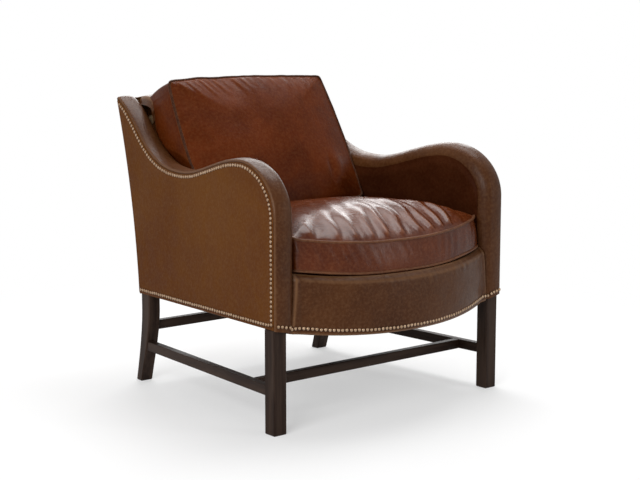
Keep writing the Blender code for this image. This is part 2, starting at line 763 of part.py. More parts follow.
def seat_outline(level):
    """Plan of the seat cushion, LEVEL 0 at its bottom welt and 1 at its top welt."""
    clear = ARM_WIDTH + WELT_RADIUS + SEAT_CLEAR
    corner_y = SEAT_CORNER_Y + SEAT_TOP_SET_BACK * level
    half = side_xy(1, side_u(corner_y, clear), clear)[0]
    rear_half = side_xy(1, side_u(SEAT_REAR_Y, clear), clear)[0]
    corners = []
    for i in range(STEPS + 1):
        t = 2 * i / STEPS - 1
        y = corner_y - SEAT_BOW * (1 - t * t)
        corners.append((t * half, y, SEAT_FRONT_RADIUS if abs(t) == 1 else 0))
    for i in range(1, 8):
        t = i / 8
        corners.append((blend(half, rear_half, t), blend(corner_y, SEAT_REAR_Y, t), 0))
    corners.append((rear_half, SEAT_REAR_Y, SEAT_REAR_RADIUS))
    for i in range(1, 8):
        corners.append((rear_half * (1 - i / 4), SEAT_REAR_Y, 0))
    corners.append((-rear_half, SEAT_REAR_Y, SEAT_REAR_RADIUS))
    for i in range(7, 0, -1):
        t = i / 8
        corners.append((-blend(half, rear_half, t), blend(corner_y, SEAT_REAR_Y, t), 0))
    return fillet(corners)


def seat_welt_z(x, y, level):
    """Height of a seat welt: it sags in the middle of the front and lifts at its corners."""
    base = blend(SEAT_WELT_LOW, SEAT_WELT_HIGH, level)
    frontness = smooth(1 - (y + SEAT_BOW) / 0.16)
    across = min(1.0, abs(x) / BORDER_HALF)
    return base + frontness * (SEAT_CORNER_LIFT * across ** 3 - SEAT_WELT_SAG * (1 - across ** 3))


def seat_fold(x, y):
    """Pulled folds that fan out over the seat from its front corners and sides."""
    depth = 0.0
    for side in (-1, 1):
        dx, dy = x - side * 0.36, y + 0.10
        angle = math.atan2(dy, -side * dx)
        reach = math.hypot(dx, dy)
        fade = smooth((reach - 0.10) / 0.10) * smooth((0.46 - reach) / 0.22)
        depth += 0.0032 * fade * math.sin(13 * angle + 0.6 * side)
    return depth


def seat_cushion():
    """Loose crowned seat cushion with a soft boxing and fanned folds."""
    bottom, top = seat_outline(0), seat_outline(1)
    middle = SEAT_MIDDLE_Y
    rings = []

    def shrunk(outline, scale, height):
        ring = []
        for x, y in outline:
            px, py = x * scale, middle + (y - middle) * scale
            ring.append((px, py, height(px, py, scale)))
        return ring

    def underside(x, y, scale):
        low = seat_welt_z(x, y, 0) - SEAT_BELLY * smooth((1 - scale) / 0.3)
        return max(low, DECK_TOP + 2 * GAP)

    def upper(x, y, scale):
        pressed = 1 - SEAT_PRESSED * smooth((y - middle) / 0.20)
        crown = SEAT_CROWN * (1 - scale ** 2.3) * pressed
        return seat_welt_z(x, y, 1) + crown + seat_fold(x, y) * smooth((1 - scale) / 0.08)

    for scale in (0.30, 0.60, 0.82):
        rings.append(shrunk(bottom, scale, underside))
    rings.append([(x, y, seat_welt_z(x, y, 0)) for x, y in inset_outline(bottom, WELT_SEAT)])
    for level in (0.0, 0.35, 0.65, 1.0):
        lift = WELT_SEAT if level == 0 else -WELT_SEAT if level == 1 else 0
        ring = []
        for i, (x, y) in enumerate(bottom):
            px, py = blend(x, top[i][0], level), blend(y, top[i][1], level)
            puff = SEAT_PUFF * math.sin(math.pi * level) * smooth(1 - (y + SEAT_BOW) / 0.09)
            ring.append((px, py - puff, seat_welt_z(px, py, level) + lift))
        rings.append(ring)
    rings.append([(x, y, seat_welt_z(x, y, 1)) for x, y in inset_outline(top, WELT_SEAT)])
    for scale in CROWN_RINGS:
        rings.append(shrunk(top, scale, upper))
    loft("seat_cushion", rings, CUSHION_FINISH, sharp=60)
    for level, name in ((1, "seat_cushion_top_welt"), (0, "seat_cushion_bottom_welt")):
        outline = inset_outline(top if level else bottom, GAP)
        inward = -GAP if level else GAP
        points = [(x, y, seat_welt_z(x, y, level) + inward) for x, y in outline]
        wire(name, points, WELT_RADIUS, PAD_FINISH, closed=True, sides=1)


def back_outline():
    """Outline of the back cushion's front face: across, and up its slope."""
    foot, top, height = CUSHION_HALF_FOOT, CUSHION_HALF_TOP, CUSHION_HEIGHT
    corners = [(-foot, 0, CUSHION_FOOT_RADIUS)]
    corners += [(foot * (i / 4 - 1), 0, 0) for i in range(1, 8)]
    corners.append((foot, 0, CUSHION_FOOT_RADIUS))
    corners += [(blend(foot, top, i / 6), height * i / 6, 0) for i in range(1, 6)]
    corners.append((top, height, CUSHION_TOP_RADIUS))
    for i in range(7, 0, -1):
        t = i / 4 - 1
        corners.append((t * top, height + CUSHION_TOP_ARCH * (1 - t * t), 0))
    corners.append((-top, height, CUSHION_TOP_RADIUS))
    corners += [(-blend(foot, top, i / 6), height * i / 6, 0) for i in range(5, 0, -1)]
    return fillet(corners)


def back_fold(x, t):
    """Pulled folds that run down from the top seam, and the dent where people lean."""
    top = t / CUSHION_HEIGHT
    pull = 0.0028 * smooth((top - 0.55) / 0.3) * math.sin(62 * x + 22 * t)
    dent = 0.006 * math.exp(-((x - 0.09) / 0.05) ** 2 - ((top - 0.45) / 0.22) ** 2)
    return pull - dent


def back_cushion():
    """Loose crowned back cushion that leans on the inside back."""
    front = back_outline()
    slope = CUSHION_HEIGHT - CUSHION_REAR_RISE + CUSHION_REAR_TOP

    def rear_place(x, t):
        part = t / CUSHION_HEIGHT
        depth = blend(CUSHION_DEPTH_FOOT, CUSHION_DEPTH_TOP, part)
        return CUSHION_REAR_WIDTH * x, CUSHION_REAR_RISE + slope * part, -depth

    centre_t = CUSHION_HEIGHT * 0.48
    rear_rings = []
    for scale in (0.35, 0.70):
        ring = []
        for x, t in front:
            px, pt, pw = rear_place(x * scale, centre_t + (t - centre_t) * scale)
            ring.append((px, pt, pw - CUSHION_REAR_CROWN * (1 - scale ** 2)))
        rear_rings.append(ring)
    inner = inset_outline(front, WELT_SEAT)
    rings = rear_rings + [[rear_place(x, t) for x, t in inner]]
    for level in (0.0, 0.5, 1.0):
        ring = []
        for x, t in front:
            rx, rt, rw = rear_place(x, t)
            lift = WELT_SEAT if level == 0 else -WELT_SEAT if level == 1 else 0
            ring.append((blend(rx, x, level), blend(rt, t, level), blend(rw, 0.0, level) + lift))
        rings.append(ring)
    rings.append([(x, t, 0.0) for x, t in inner])
    for scale in CROWN_RINGS:
        ring = []
        for x, t in front:
            px, pt = x * scale, centre_t + (t - centre_t) * scale
            crown = CUSHION_CROWN * (1 - scale ** 2.6)
            ring.append((px, pt, crown + back_fold(px, pt) * smooth((1 - scale) / 0.08)))
        rings.append(ring)
    place = (0, CUSHION_FOOT_Y, CUSHION_FOOT_Z)
    turn = (math.pi / 2 - CUSHION_TILT, 0, 0)
    loft("back_cushion", rings, CUSHION_FINISH, place, turn, sharp=60)
    welt = inset_outline(front, GAP)
    for name, run in (
        ("back_cushion_front_welt", [(x, t, -GAP) for x, t in welt]),
        ("back_cushion_rear_welt", [(x, t, w + GAP) for x, t, w in
                                    [rear_place(x, t) for x, t in welt]]),
    ):
        cord = wire(name, run, WELT_RADIUS, PAD_FINISH, closed=True, sides=1)
        cord.location = place
        cord.rotation_euler = turn


def build_chair():
    """Make every piece of the chair."""
    for side, word in ((-1, "left"), (1, "right")):
        front_leg("front_leg_" + word, side)
        back_leg("back_leg_" + word, side)
        side_stretcher("side_stretcher_" + word, side)
        side_rail("side_rail_" + word, side)
        corner_block("front_corner_block_" + word, side, True)
        corner_block("rear_corner_block_" + word, side, False)
        arm_frame("arm_frame_" + word, side)
        inside_arm_pad("inside_arm_pad_" + word, side)
        arm_roll("arm_roll_" + word, side)
        outside_arm_panel("outside_arm_panel_" + word, side)
    cross_stretcher()
    rail_between_posts("back_stretcher", BACK_STRETCHER_LOW, BACK_STRETCHER_HIGH,
                       BACK_STRETCHER_SET_IN, BACK_STRETCHER_THICK, LEG_FINISH)
    rail_between_posts("back_rail", RAIL_LOW, RAIL_TOP, 0.0, RAIL_THICK, FRAME_FINISH)
    rail_between_posts("back_mid_rail", MID_RAIL_LOW, MID_RAIL_HIGH,
                       0.0, RAIL_THICK, FRAME_FINISH)
    crest_rail()
    front_rail()
    for i in range(SPRINGS):
        x = SPRING_PITCH * (i - (SPRINGS - 1) / 2)
        sinuous_spring("seat_spring_%d" % (i + 1), x)
    seat_deck_pad()
    dust_cover()
    front_border()
    inside_back_pad()
    outside_back_panel()
    seat_cushion()
    back_cushion()


clear_scene()
CHAIR = bpy.data.collections.new("club_chair")
bpy.context.scene.collection.children.link(CHAIR)
ROOT = bpy.data.objects.new("club_chair_origin", None)
CHAIR.objects.link(ROOT)
ROOT.location = (0, -ORIGIN_Y, 0)
build_chair()
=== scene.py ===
"""Looks of the worn leather club chair."""
import math

import bpy
import numpy as np
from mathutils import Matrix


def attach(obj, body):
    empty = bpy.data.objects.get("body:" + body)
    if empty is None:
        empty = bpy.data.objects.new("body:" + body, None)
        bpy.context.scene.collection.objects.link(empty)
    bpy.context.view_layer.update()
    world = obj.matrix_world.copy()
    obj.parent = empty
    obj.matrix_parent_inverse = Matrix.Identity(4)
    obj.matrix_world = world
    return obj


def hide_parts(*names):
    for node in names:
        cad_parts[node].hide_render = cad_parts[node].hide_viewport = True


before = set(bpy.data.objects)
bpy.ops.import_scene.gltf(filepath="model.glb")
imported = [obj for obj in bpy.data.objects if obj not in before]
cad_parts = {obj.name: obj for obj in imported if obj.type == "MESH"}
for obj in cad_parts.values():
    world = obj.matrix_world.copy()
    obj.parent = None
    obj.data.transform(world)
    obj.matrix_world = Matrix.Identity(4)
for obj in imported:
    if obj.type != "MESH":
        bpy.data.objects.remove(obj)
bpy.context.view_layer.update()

# Shape values shared with the construction, in metres
ORIGIN_Y = 0.3393
HALF_FRONT, FRONT_Y = 0.38, -0.002
SIDE_TAPER = math.radians(3.93)
HEM_FRONT, HEM_REAR = 0.2565, 0.2465
BACK_Y, BACK_RAKE, BACK_BOW = 0.6522, 0.0706, 0.2613
PANEL = 0.004
ARM_WIDTH, WING_WIDTH, ARM_SLIM = 0.072, 0.069, 0.0645
ARM_SPRING_Z = 0.518
HUMP_U, HUMP_Z = 0.148, 0.643
DIP_U, DIP_Z = 0.423, 0.592
WING_U, WING_Z, WING_SLOPE = 0.6345, 0.6683, 0.95
TOP_Z, TOP_SLOPE = 0.766, 0.35
CREST_ARCH, CREST_RISE = 0.018, 0.004
BORDER_HALF, BORDER_CORNER_Y, BORDER_BOW = 0.3058, -0.01, 0.075
HEM_CORNER_DROP, HEM_DROOP = 0.012, 0.02
BORDER_TOP = 0.362
BACK_FACE_Y, BACK_FACE_Z, BACK_FACE_SLOPE = 0.545, 0.368, 0.337
SEAT_CORNER_Y, SEAT_BOW, SEAT_TOP_SET_BACK, SEAT_REAR_Y = 0.005, 0.067, 0.013, 0.54
SEAT_WELT_LOW, SEAT_WELT_HIGH = 0.386, 0.459
SEAT_WELT_SAG, SEAT_CORNER_LIFT, SEAT_CROWN = 0.014, 0.009, 0.056
SEAT_MIDDLE_Y = 0.245
WELT_RADIUS = 0.0034
DECK_TOP = 0.3662
CUSHION_FOOT_Y, CUSHION_FOOT_Z = 0.42, 0.486
CUSHION_TILT = math.radians(29.6)
CUSHION_HEIGHT, CUSHION_HALF_FOOT, CUSHION_HALF_TOP = 0.382, 0.2655, 0.26
CUSHION_DEPTH_FOOT, CUSHION_DEPTH_TOP = 0.134, 0.12
CUSHION_REAR_RISE, CUSHION_REAR_TOP, CUSHION_REAR_WIDTH = 0.082, 0.01, 0.995
CUSHION_CROWN, CUSHION_TOP_ARCH = 0.036, 0.006
CUSHION_BARREL, CORNER_POWER = 0.009, 34.0
BOXING_ROWS, PRESSURE, FRAMES = 14, 3.0, 20

# Nails
NAIL_PITCH, NAIL_RADIUS, NAIL_HEIGHT, NAIL_INSET = 0.011, 0.0045, 0.0029, 0.0075
NAIL_RINGS = ((1.0, 0.0), (1.0, 0.16), (0.93, 0.46), (0.78, 0.72), (0.55, 0.9), (0.28, 0.98))
NAIL_SIDES, NAIL_SUNK, SIDE_NAILS, NAIL_SHADE = 14, 0.0004, 58, 0.0042
HEM_NAIL_RISE, HEM_NAIL_CORNER = 0.012, 0.0145
BAND_NAILS, BAND_NAIL_RISE, BAND_FACE = (0.0085, 0.0195, 0.0305, 0.0415), 0.0125, -0.0092

# Camera
CAMERA_PLACE = (-2.3797, -2.9415, 0.9742)
CAMERA_AZIMUTH, CAMERA_PITCH = math.radians(39.47), math.radians(8.68)
CAMERA_LENS = 80.5

# Floor, sky and lamps
FLOOR_HALF, FLOOR_GREY, SKY_FILL = 14.0, 0.86, 0.3
FLOOR_FADE = (0.8, 1.7, 0.46, 1.0)
LAMPS = (
    # place, target, size, power
    ((2.0, 2.5, 1.9), (0, 0, 0.45), (2.6, 1.5), 46.0),
    ((0.6, 0.5, 2.7), (0, 0, 0.4), (2.0, 1.4), 62.0),
    ((-3.0, -1.6, 1.8), (0, 0, 0.4), (1.8, 1.8), 84.0),
    ((1.6, -3.0, 1.1), (0, 0, 0.4), (0.5, 1.8), 15.0),
)

SIDE_WORDS = {-1: "left", 1: "right"}


def add_camera():
    """Camera at the photograph's place."""
    data = bpy.data.cameras.new("camera")
    data.lens = CAMERA_LENS
    data.sensor_width = 36.0
    data.clip_end = 50.0
    camera = bpy.data.objects.new("camera", data)
    camera.location = CAMERA_PLACE
    camera.rotation_euler = (math.pi / 2 - CAMERA_PITCH, 0.0, -CAMERA_AZIMUTH)
    bpy.context.scene.collection.objects.link(camera)
    bpy.context.scene.camera = camera


add_camera()


# Numbers

def blend(a, b, t):
    return a + (b - a) * t


def smooth(t):
    t = np.clip(t, 0.0, 1.0)
    return t * t * (3 - 2 * t)


def noise(points, size, seed=0):
    """Smooth value noise from -1 to 1 with cells of the given size."""
    place = np.asarray(points, float) / size + 31.7 * seed
    cell = np.floor(place).astype(np.int64)
    part = place - cell
    part = part ** 3 * (part * (part * 6 - 15) + 10)
    total = np.zeros(place.shape[:-1])
    for corner in np.ndindex(2, 2, 2):
        n = ((cell + corner) * (374761393, 668265263, 1442695041)).sum(-1)
        n = (n + seed * 974634777) & 0xFFFFFFFF
        n = ((n ^ (n >> 13)) * 1274126177) & 0xFFFFFFFF
        n = (n ^ (n >> 16)) & 0xFFFF
        total += np.where(corner, part, 1 - part).prod(-1) * (n / 32767.5 - 1)
    return total


def noise_line(t, size, seed=0):
    """Smooth noise along a line."""
    t = np.asarray(t, float)
    return noise(np.stack([t, t * 0, t * 0], -1), size, seed)


# The chair's own curves

def side_xy(side, u, v):
    """World x and y of a place U back along a side and V in from its outer face."""
    x = HALF_FRONT - u * math.sin(SIDE_TAPER) - v * math.cos(SIDE_TAPER)
    y = FRONT_Y + u * math.cos(SIDE_TAPER) - v * math.sin(SIDE_TAPER)
    return side * x, y - ORIGIN_Y


def side_u(y, v=0.0):
    """How far back along a side a depth behind the front legs' faces is reached."""
    return (y - FRONT_Y + v * math.sin(SIDE_TAPER)) / math.cos(SIDE_TAPER)


def arm_inner(u):
    """How far in from the outer face the inner face of an arm lies: slimmer at its front."""
    return blend(ARM_SLIM, ARM_WIDTH, smooth((np.asarray(u) - 0.12) / 0.28))


def half_width(y, v):
    """Half the width at a depth behind the front legs' faces, V in from the outer face."""
    return HALF_FRONT - side_u(y, v) * math.sin(SIDE_TAPER) - v * math.cos(SIDE_TAPER)


def inner_half(y, more):
    """Half the clear width between the arms, less MORE on each side."""
    return half_width(y, arm_inner(side_u(y)) + more)


def side_point(side, u, v, z):
    x, y = side_xy(side, u, v)
    return np.stack(np.broadcast_arrays(x, y, z), -1)


def back_y(z):
    rise = z - HEM_REAR
    return BACK_Y + BACK_RAKE * rise + BACK_BOW * rise * rise


def hem_z(u):
    return HEM_FRONT + (HEM_REAR - HEM_FRONT) * u / side_u(BACK_Y)


def cubic_run(start, start_slope, end, end_slope, steps):
    (u0, z0), (u1, z1) = start, end
    t = np.arange(1, steps + 1) / steps
    ease = t * t * (3 - 2 * t)
    rise = z0 * (1 - ease) + z1 * ease
    rise += (u1 - u0) * (start_slope * t * (1 - t) ** 2 - end_slope * t * t * (1 - t))
    return np.stack([u0 + (u1 - u0) * t, rise], -1)


def arm_seam(step=0.004):
    """The arm's S-curved seam in its side's plane, at even steps from the hem to the back."""
    z = np.linspace(HEM_FRONT, ARM_SPRING_Z, 40)
    upright = np.stack([z * 0, z], -1)
    turn = np.radians(np.arange(1, 91))
    rise = ARM_SPRING_Z + (HUMP_Z - ARM_SPRING_Z) * np.sin(turn)
    front = np.stack([HUMP_U * (1 - np.cos(turn)), rise], -1)
    top = (side_u(back_y(TOP_Z) - PANEL), TOP_Z)
    points = np.concatenate([
        upright, front,
        cubic_run((HUMP_U, HUMP_Z), 0.0, (DIP_U, DIP_Z), 0.0, 60),
        cubic_run((DIP_U, DIP_Z), 0.0, (WING_U, WING_Z), WING_SLOPE, 60),
        cubic_run((WING_U, WING_Z), WING_SLOPE, top, TOP_SLOPE, 40),
    ])
    return even_run(points, step)


def even_run(points, step):
    """Points at even steps along a run of points."""
    lengths = np.concatenate([[0], np.cumsum(np.linalg.norm(np.diff(points, axis=0), axis=1))])
    count = max(2, int(round(lengths[-1] / step)) + 1)
    wanted = np.linspace(0, lengths[-1], count)
    return np.stack([np.interp(wanted, lengths, points[:, i]) for i in range(points.shape[1])], -1)


def run_normals(points):
    """Unit normals to the left of a flat run of points."""
    along = np.gradient(points, axis=0)
    along /= np.linalg.norm(along, axis=1)[:, None]
    return np.stack([-along[:, 1], along[:, 0]], -1)


def border_y(x):
    """Depth of the border's bowed face, level past its ends."""
    x = np.clip(x, -BORDER_HALF, BORDER_HALF)
    return BORDER_CORNER_Y - BORDER_BOW * (1 - (x / BORDER_HALF) ** 2)


def border_hem(x):
    droop = HEM_DROOP * (1 - np.minimum(1, np.abs(x / BORDER_HALF)) ** 2.4)
    return HEM_FRONT - HEM_CORNER_DROP - droop


# Meshes

def grid_normals(grid):
    """Unit normals of a grid of points."""
    across = np.gradient(grid, axis=1)
    along = np.gradient(grid, axis=0)
    normal = np.cross(across, along)
    return normal / np.maximum(np.linalg.norm(normal, axis=-1), 1e-12)[..., None]


def read(items, key, width=1, kind=float):
    """The stored values of vertices, edges or faces, a row for each."""
    values = np.zeros(len(items) * width, kind)
    items.foreach_get(key, values)
    return values.reshape(-1, width)


def store(piece, name, values):
    """Store a value at each point for the shader."""
    layer = piece.data.attributes.new(name, "FLOAT", "POINT")
    layer.data.foreach_set("value", np.array(values, np.float32))


def paint_nail_shade(piece, rows, amount):
    """Lower the stored value along a strip: painted shade beside a row of nails."""
    layer = piece.data.attributes["wear_and_painted_light"]
    value = read(layer.data, "value", 1, np.float32).ravel()
    value *= 1 - amount * np.asarray(rows, np.float32).ravel()
    layer.data.foreach_set("value", value)


def add_mesh(name, points, faces, material, replaced=()):
    """Add a piece that rides on the chair."""
    mesh = bpy.data.meshes.new(name)
    mesh.from_pydata([tuple(p) for p in np.asarray(points).reshape(-1, 3)], [], faces)
    mesh.validate()
    mesh.shade_smooth()
    piece = bpy.data.objects.new(name, mesh)
    bpy.context.scene.collection.objects.link(piece)
    mesh.materials.append(material)
    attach(piece, "root")
    if replaced:
        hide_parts(*replaced)
    return piece


def add_leather(name, grid, material, replaced, inside, reach=5):
    """Add a grid of leather that looks away from a point inside it."""
    piece = add_mesh(name, grid, grid_faces(*grid.shape[:2]), material, (replaced,))
    outward_mesh(piece, inside)
    mark_ridges_and_hollows(piece, reach, 700)
    return piece


def grid_faces(rows, columns, closed=False):
    faces = []
    for i in range(rows - 1):
        for j in range(columns if closed else columns - 1):
            k = (j + 1) % columns
            faces.append((i * columns + j, i * columns + k, (i + 1) * columns + k, (i + 1) * columns + j))
    return faces


def outward_mesh(piece, point):
    """Turn the faces so that they look away from a point inside the piece."""
    faces = piece.data.polygons
    away = (read(faces, "center", 3) - np.asarray(point)) * read(faces, "normal", 3)
    if away.sum() < 0:
        piece.data.flip_normals()


def mark_ridges_and_hollows(piece, reach=6, gain=900.0):
    """Store how far each point stands over its surroundings: 1 on ridges, 0 in hollows."""
    mesh = piece.data
    count = len(mesh.vertices)
    place, normal = read(mesh.vertices, "co", 3), read(mesh.vertices, "normal", 3)
    edges = read(mesh.edges, "vertices", 2, int)
    degree = np.bincount(edges.ravel(), minlength=count)[:, None]
    soft = place.copy()
    for _ in range(reach):
        total = np.zeros_like(soft)
        for axis in range(3):
            total[:, axis] += np.bincount(edges[:, 0], soft[edges[:, 1], axis], count)
            total[:, axis] += np.bincount(edges[:, 1], soft[edges[:, 0], axis], count)
        soft = 0.5 * soft + 0.5 * total / np.maximum(degree, 1)
    stand = ((place - soft) * normal).sum(1)
    store(piece, "wear_and_painted_light", 0.5 + 0.5 * np.tanh(stand * gain))


# Materials

class Shader:
    """Wires the nodes of one material."""

    def __init__(self, name):
        self.material = bpy.data.materials.new(name)
        self.material.use_nodes = True
        self.tree = self.material.node_tree
        self.main = self.tree.nodes["Principled BSDF"]
        self.place = self.add("TexCoord").outputs["Object"]

    def add(self, kind, values=(), links=()):
        """Add a node, set its sockets and link others to it."""
        node = self.tree.nodes.new("ShaderNode" + kind)
        for socket, value in values:
            node.inputs[socket].default_value = value
        for socket, source in links:
            self.link(source, node.inputs[socket])
        return node

    def link(self, source, target):
        self.tree.links.new(source, target)

    def look(self, **values):
        """Set the main shader's own sockets."""
        for socket, value in values.items():
            self.main.inputs[socket.replace("_", " ")].default_value = value

    def stretched(self, scale):
        return self.add("Mapping", (("Scale", scale),), (("Vector", self.place),)).outputs["Vector"]

    def noise(self, scale, detail=3.0, rough=0.55, place=None, distortion=0.0):
        values = (("Scale", scale), ("Detail", detail), ("Roughness", rough), ("Distortion", distortion))
        return self.add("TexNoise", values, (("Vector", place or self.place),)).outputs["Fac"]

    def cells(self, scale, feature="F1", place=None):
        node = self.add("TexVoronoi")
        node.feature = feature
        node.inputs["Scale"].default_value = scale
        self.link(place or self.place, node.inputs["Vector"])
        return node.outputs["Distance"]

    def spread(self, value, low, high, out_low=0.0, out_high=1.0):
        values = (("From Min", low), ("From Max", high), ("To Min", out_low), ("To Max", out_high))
        node = self.add("MapRange", values, (("Value", value),))
        node.interpolation_type = "SMOOTHSTEP"
        return node.outputs["Result"]

    def mix(self, factor, a, b):
        node = self.add("Mix")
        node.data_type = "RGBA"
        self.link(factor, node.inputs["Factor"])
        for target, value in zip([s for s in node.inputs if s.type == "RGBA"], (a, b)):
            if isinstance(value, tuple):
                target.default_value = (*value, 1.0)
            else:
                self.link(value, target)
        return [s for s in node.outputs if s.type == "RGBA"][0]

    def math(self, kind, a, b):
        node = self.add("Math")
        node.operation = kind
        for target, value in zip(node.inputs, (a, b)):
            if isinstance(value, float):
                target.default_value = value
            else:
                self.link(value, target)
        return node.outputs[0]

    def attribute(self, name):
        node = self.add("Attribute")
        node.attribute_name = name
        return node.outputs["Fac"]

    def bump(self, height, distance, strength=1.0, normal=None):
        links = [("Height", height)] + ([("Normal", normal)] if normal is not None else [])
        return self.add("Bump", (("Distance", distance), ("Strength", strength)), links).outputs["Normal"]

    def finish(self, colour, roughness, normal=None):
        for socket, value in (("Base Color", colour), ("Roughness", roughness), ("Normal", normal)):
            if isinstance(value, float):
                self.main.inputs[socket].default_value = value
            elif value is not None:
                self.link(value, self.main.inputs[socket])
        return self.material


def leather(name, deep, middle, pale, rough=(0.34, 0.48), coat=0.0, patch=3.4, wear_and_painted_light=0.45, gloss=0.3):
    """Pull-up leather: cloudy colour, paler where it stands out (part rubbed wear, part painted highlight),
    darkened in hollows as painted shade, with fine grain and creases.
    """
    s = Shader(name)
    cloud = s.spread(s.noise(patch, 2.0, 0.5, distortion=0.4), 0.32, 0.7)
    mottle = s.spread(s.noise(17.0, 5.0, 0.62, distortion=0.6), 0.3, 0.74)
    speck = s.spread(s.noise(140.0, 3.0, 0.6), 0.35, 0.75)
    both = s.math("ADD", s.math("MULTIPLY", cloud, 0.62), s.math("MULTIPLY", mottle, 0.38))
    colour = s.mix(both, deep, middle)
    colour = s.mix(s.math("MULTIPLY", speck, 0.14), colour, pale)
    stand = s.attribute("wear_and_painted_light")
    # Ridges turn pale: part rubbed wear of the leather, part painted highlight.
    ridge = s.spread(stand, 0.56, 0.98, 0.0, wear_and_painted_light)
    colour = s.mix(ridge, colour, pale)
    # Hollows and creases turn dark: painted shade.
    painted_hollow_shade = s.spread(stand, 0.46, 0.04, 0.0, 0.55)
    colour = s.mix(painted_hollow_shade, colour, tuple(c * 0.35 for c in deep))
    scuffs = s.spread(s.noise(9.0, 8.0, 0.72, s.stretched((1.0, 1.0, 2.6)), 0.8), 0.62, 0.8, 0.0, 0.22)
    colour = s.mix(scuffs, colour, pale)
    grain = s.cells(620.0, "SMOOTH_F1")
    pores = s.noise(1500.0, 2.0, 0.6)
    crease = s.cells(75.0, "DISTANCE_TO_EDGE", s.stretched((1.0, 1.25, 0.8)))
    crease = s.spread(crease, 0.0, 0.07)
    normal = s.bump(crease, 0.00028, 0.35)
    normal = s.bump(s.noise(38.0, 4.0, 0.55), 0.0022, 0.3, normal)
    normal = s.bump(s.math("ADD", grain, s.math("MULTIPLY", pores, 0.35)), 0.0003, 0.4, normal)
    roughness = s.spread(mottle, 0.0, 1.0, rough[0], rough[1])
    s.look(Coat_Weight=coat, Coat_Roughness=0.22, Specular_IOR_Level=gloss)
    return s.finish(colour, roughness, normal)


def wood(name, direction, dark, light, rough=0.36):
    """Straight-grained stained wood whose grain runs along an axis."""
    s = Shader(name)
    s.look(Specular_IOR_Level=0.07)
    scale = [55.0, 55.0, 55.0]
    scale[direction] = 3.0
    fibre = s.noise(1.0, 6.0, 0.62, s.stretched(tuple(scale)), 0.3)
    fine = [c * 6 for c in scale]
    pores = s.noise(1.0, 3.0, 0.6, s.stretched(tuple(fine)))
    colour = s.mix(s.spread(fibre, 0.35, 0.68), dark, light)
    colour = s.mix(s.spread(pores, 0.58, 0.72, 0.0, 0.5), colour, tuple(c * 0.45 for c in dark))
    scuffs = s.spread(s.noise(16.0, 7.0, 0.75), 0.66, 0.78, 0.0, 0.3)
    colour = s.mix(scuffs, colour, tuple(min(1.0, c * 3.2) for c in light))
    normal = s.bump(pores, 0.0004, 0.3)
    normal = s.bump(fibre, 0.0006, 0.25, normal)
    roughness = s.spread(fibre, 0.3, 0.7, rough, rough + 0.12)
    return s.finish(colour, roughness, normal)


def brass(name):
    """Antiqued brass: bright on the dome's top and dark brown at its foot by the leather, part rubbed wear
    and part painted highlight and painted shade.
    """
    s = Shader(name)
    tone = s.attribute("tone")
    rub_and_highlight = s.attribute("wear_and_painted_light")
    # The dome's top is painted bright and its foot dark: part rubbed wear, part painted highlight and painted
    # shade.
    colour = s.mix(s.spread(rub_and_highlight, 0.25, 0.95), (0.05, 0.026, 0.013), (0.42, 0.29, 0.19))
    colour = s.mix(s.math("MULTIPLY", tone, 0.45), colour, (0.2, 0.115, 0.06))
    tarnish = s.spread(s.noise(420.0, 3.0, 0.6), 0.45, 0.75, 0.0, 0.35)
    colour = s.mix(tarnish, colour, (0.06, 0.034, 0.02))
    s.look(Metallic=0.85)
    return s.finish(colour, s.spread(tone, 0.0, 1.0, 0.28, 0.42), s.bump(s.noise(900.0, 2.0), 0.0002, 0.3))


def cloth(name, base, dark, scale=900.0):
    """Plain woven cloth."""
    s = Shader(name)
    warp = s.noise(1.0, 2.0, 0.5, s.stretched((scale, scale * 0.12, scale)))
    weft = s.noise(1.0, 2.0, 0.5, s.stretched((scale * 0.12, scale, scale)))
    weave = s.math("ADD", warp, weft)
    colour = s.mix(s.spread(weave, 0.7, 1.3), dark, base)
    colour = s.mix(s.spread(s.noise(14.0, 5.0, 0.6), 0.5, 0.8, 0.0, 0.3), colour, dark)
    return s.finish(colour, 0.92, s.bump(weave, 0.0004, 0.5))


def steel(name):
    s = Shader(name)
    rust = s.spread(s.noise(60.0, 6.0, 0.65), 0.56, 0.74)
    colour = s.mix(rust, (0.42, 0.42, 0.43), (0.2, 0.09, 0.04))
    s.look(Metallic=0.9)
    return s.finish(colour, s.spread(rust, 0.0, 1.0, 0.32, 0.7))


BODY = leather("leather_body", (0.04, 0.0115, 0.0028), (0.07, 0.0235, 0.0058), (0.22, 0.115, 0.055),
               rough=(0.3, 0.42), gloss=0.1)
OUTSIDE = leather("leather_outside", (0.076, 0.022, 0.004), (0.108, 0.039, 0.0075), (0.18, 0.1, 0.045),
                  rough=(0.46, 0.6), patch=2.6, wear_and_painted_light=0.3, gloss=0.03)
SEAT = leather("leather_seat", (0.048, 0.008, 0.0014), (0.092, 0.019, 0.0034), (0.28, 0.11, 0.05),
               rough=(0.18, 0.28), coat=0.04, patch=4.2, gloss=0.12)
BACK = leather("leather_back", (0.046, 0.0068, 0.0006), (0.092, 0.0165, 0.0016), (0.22, 0.085, 0.03),
               rough=(0.3, 0.44), patch=5.0, gloss=0.05)
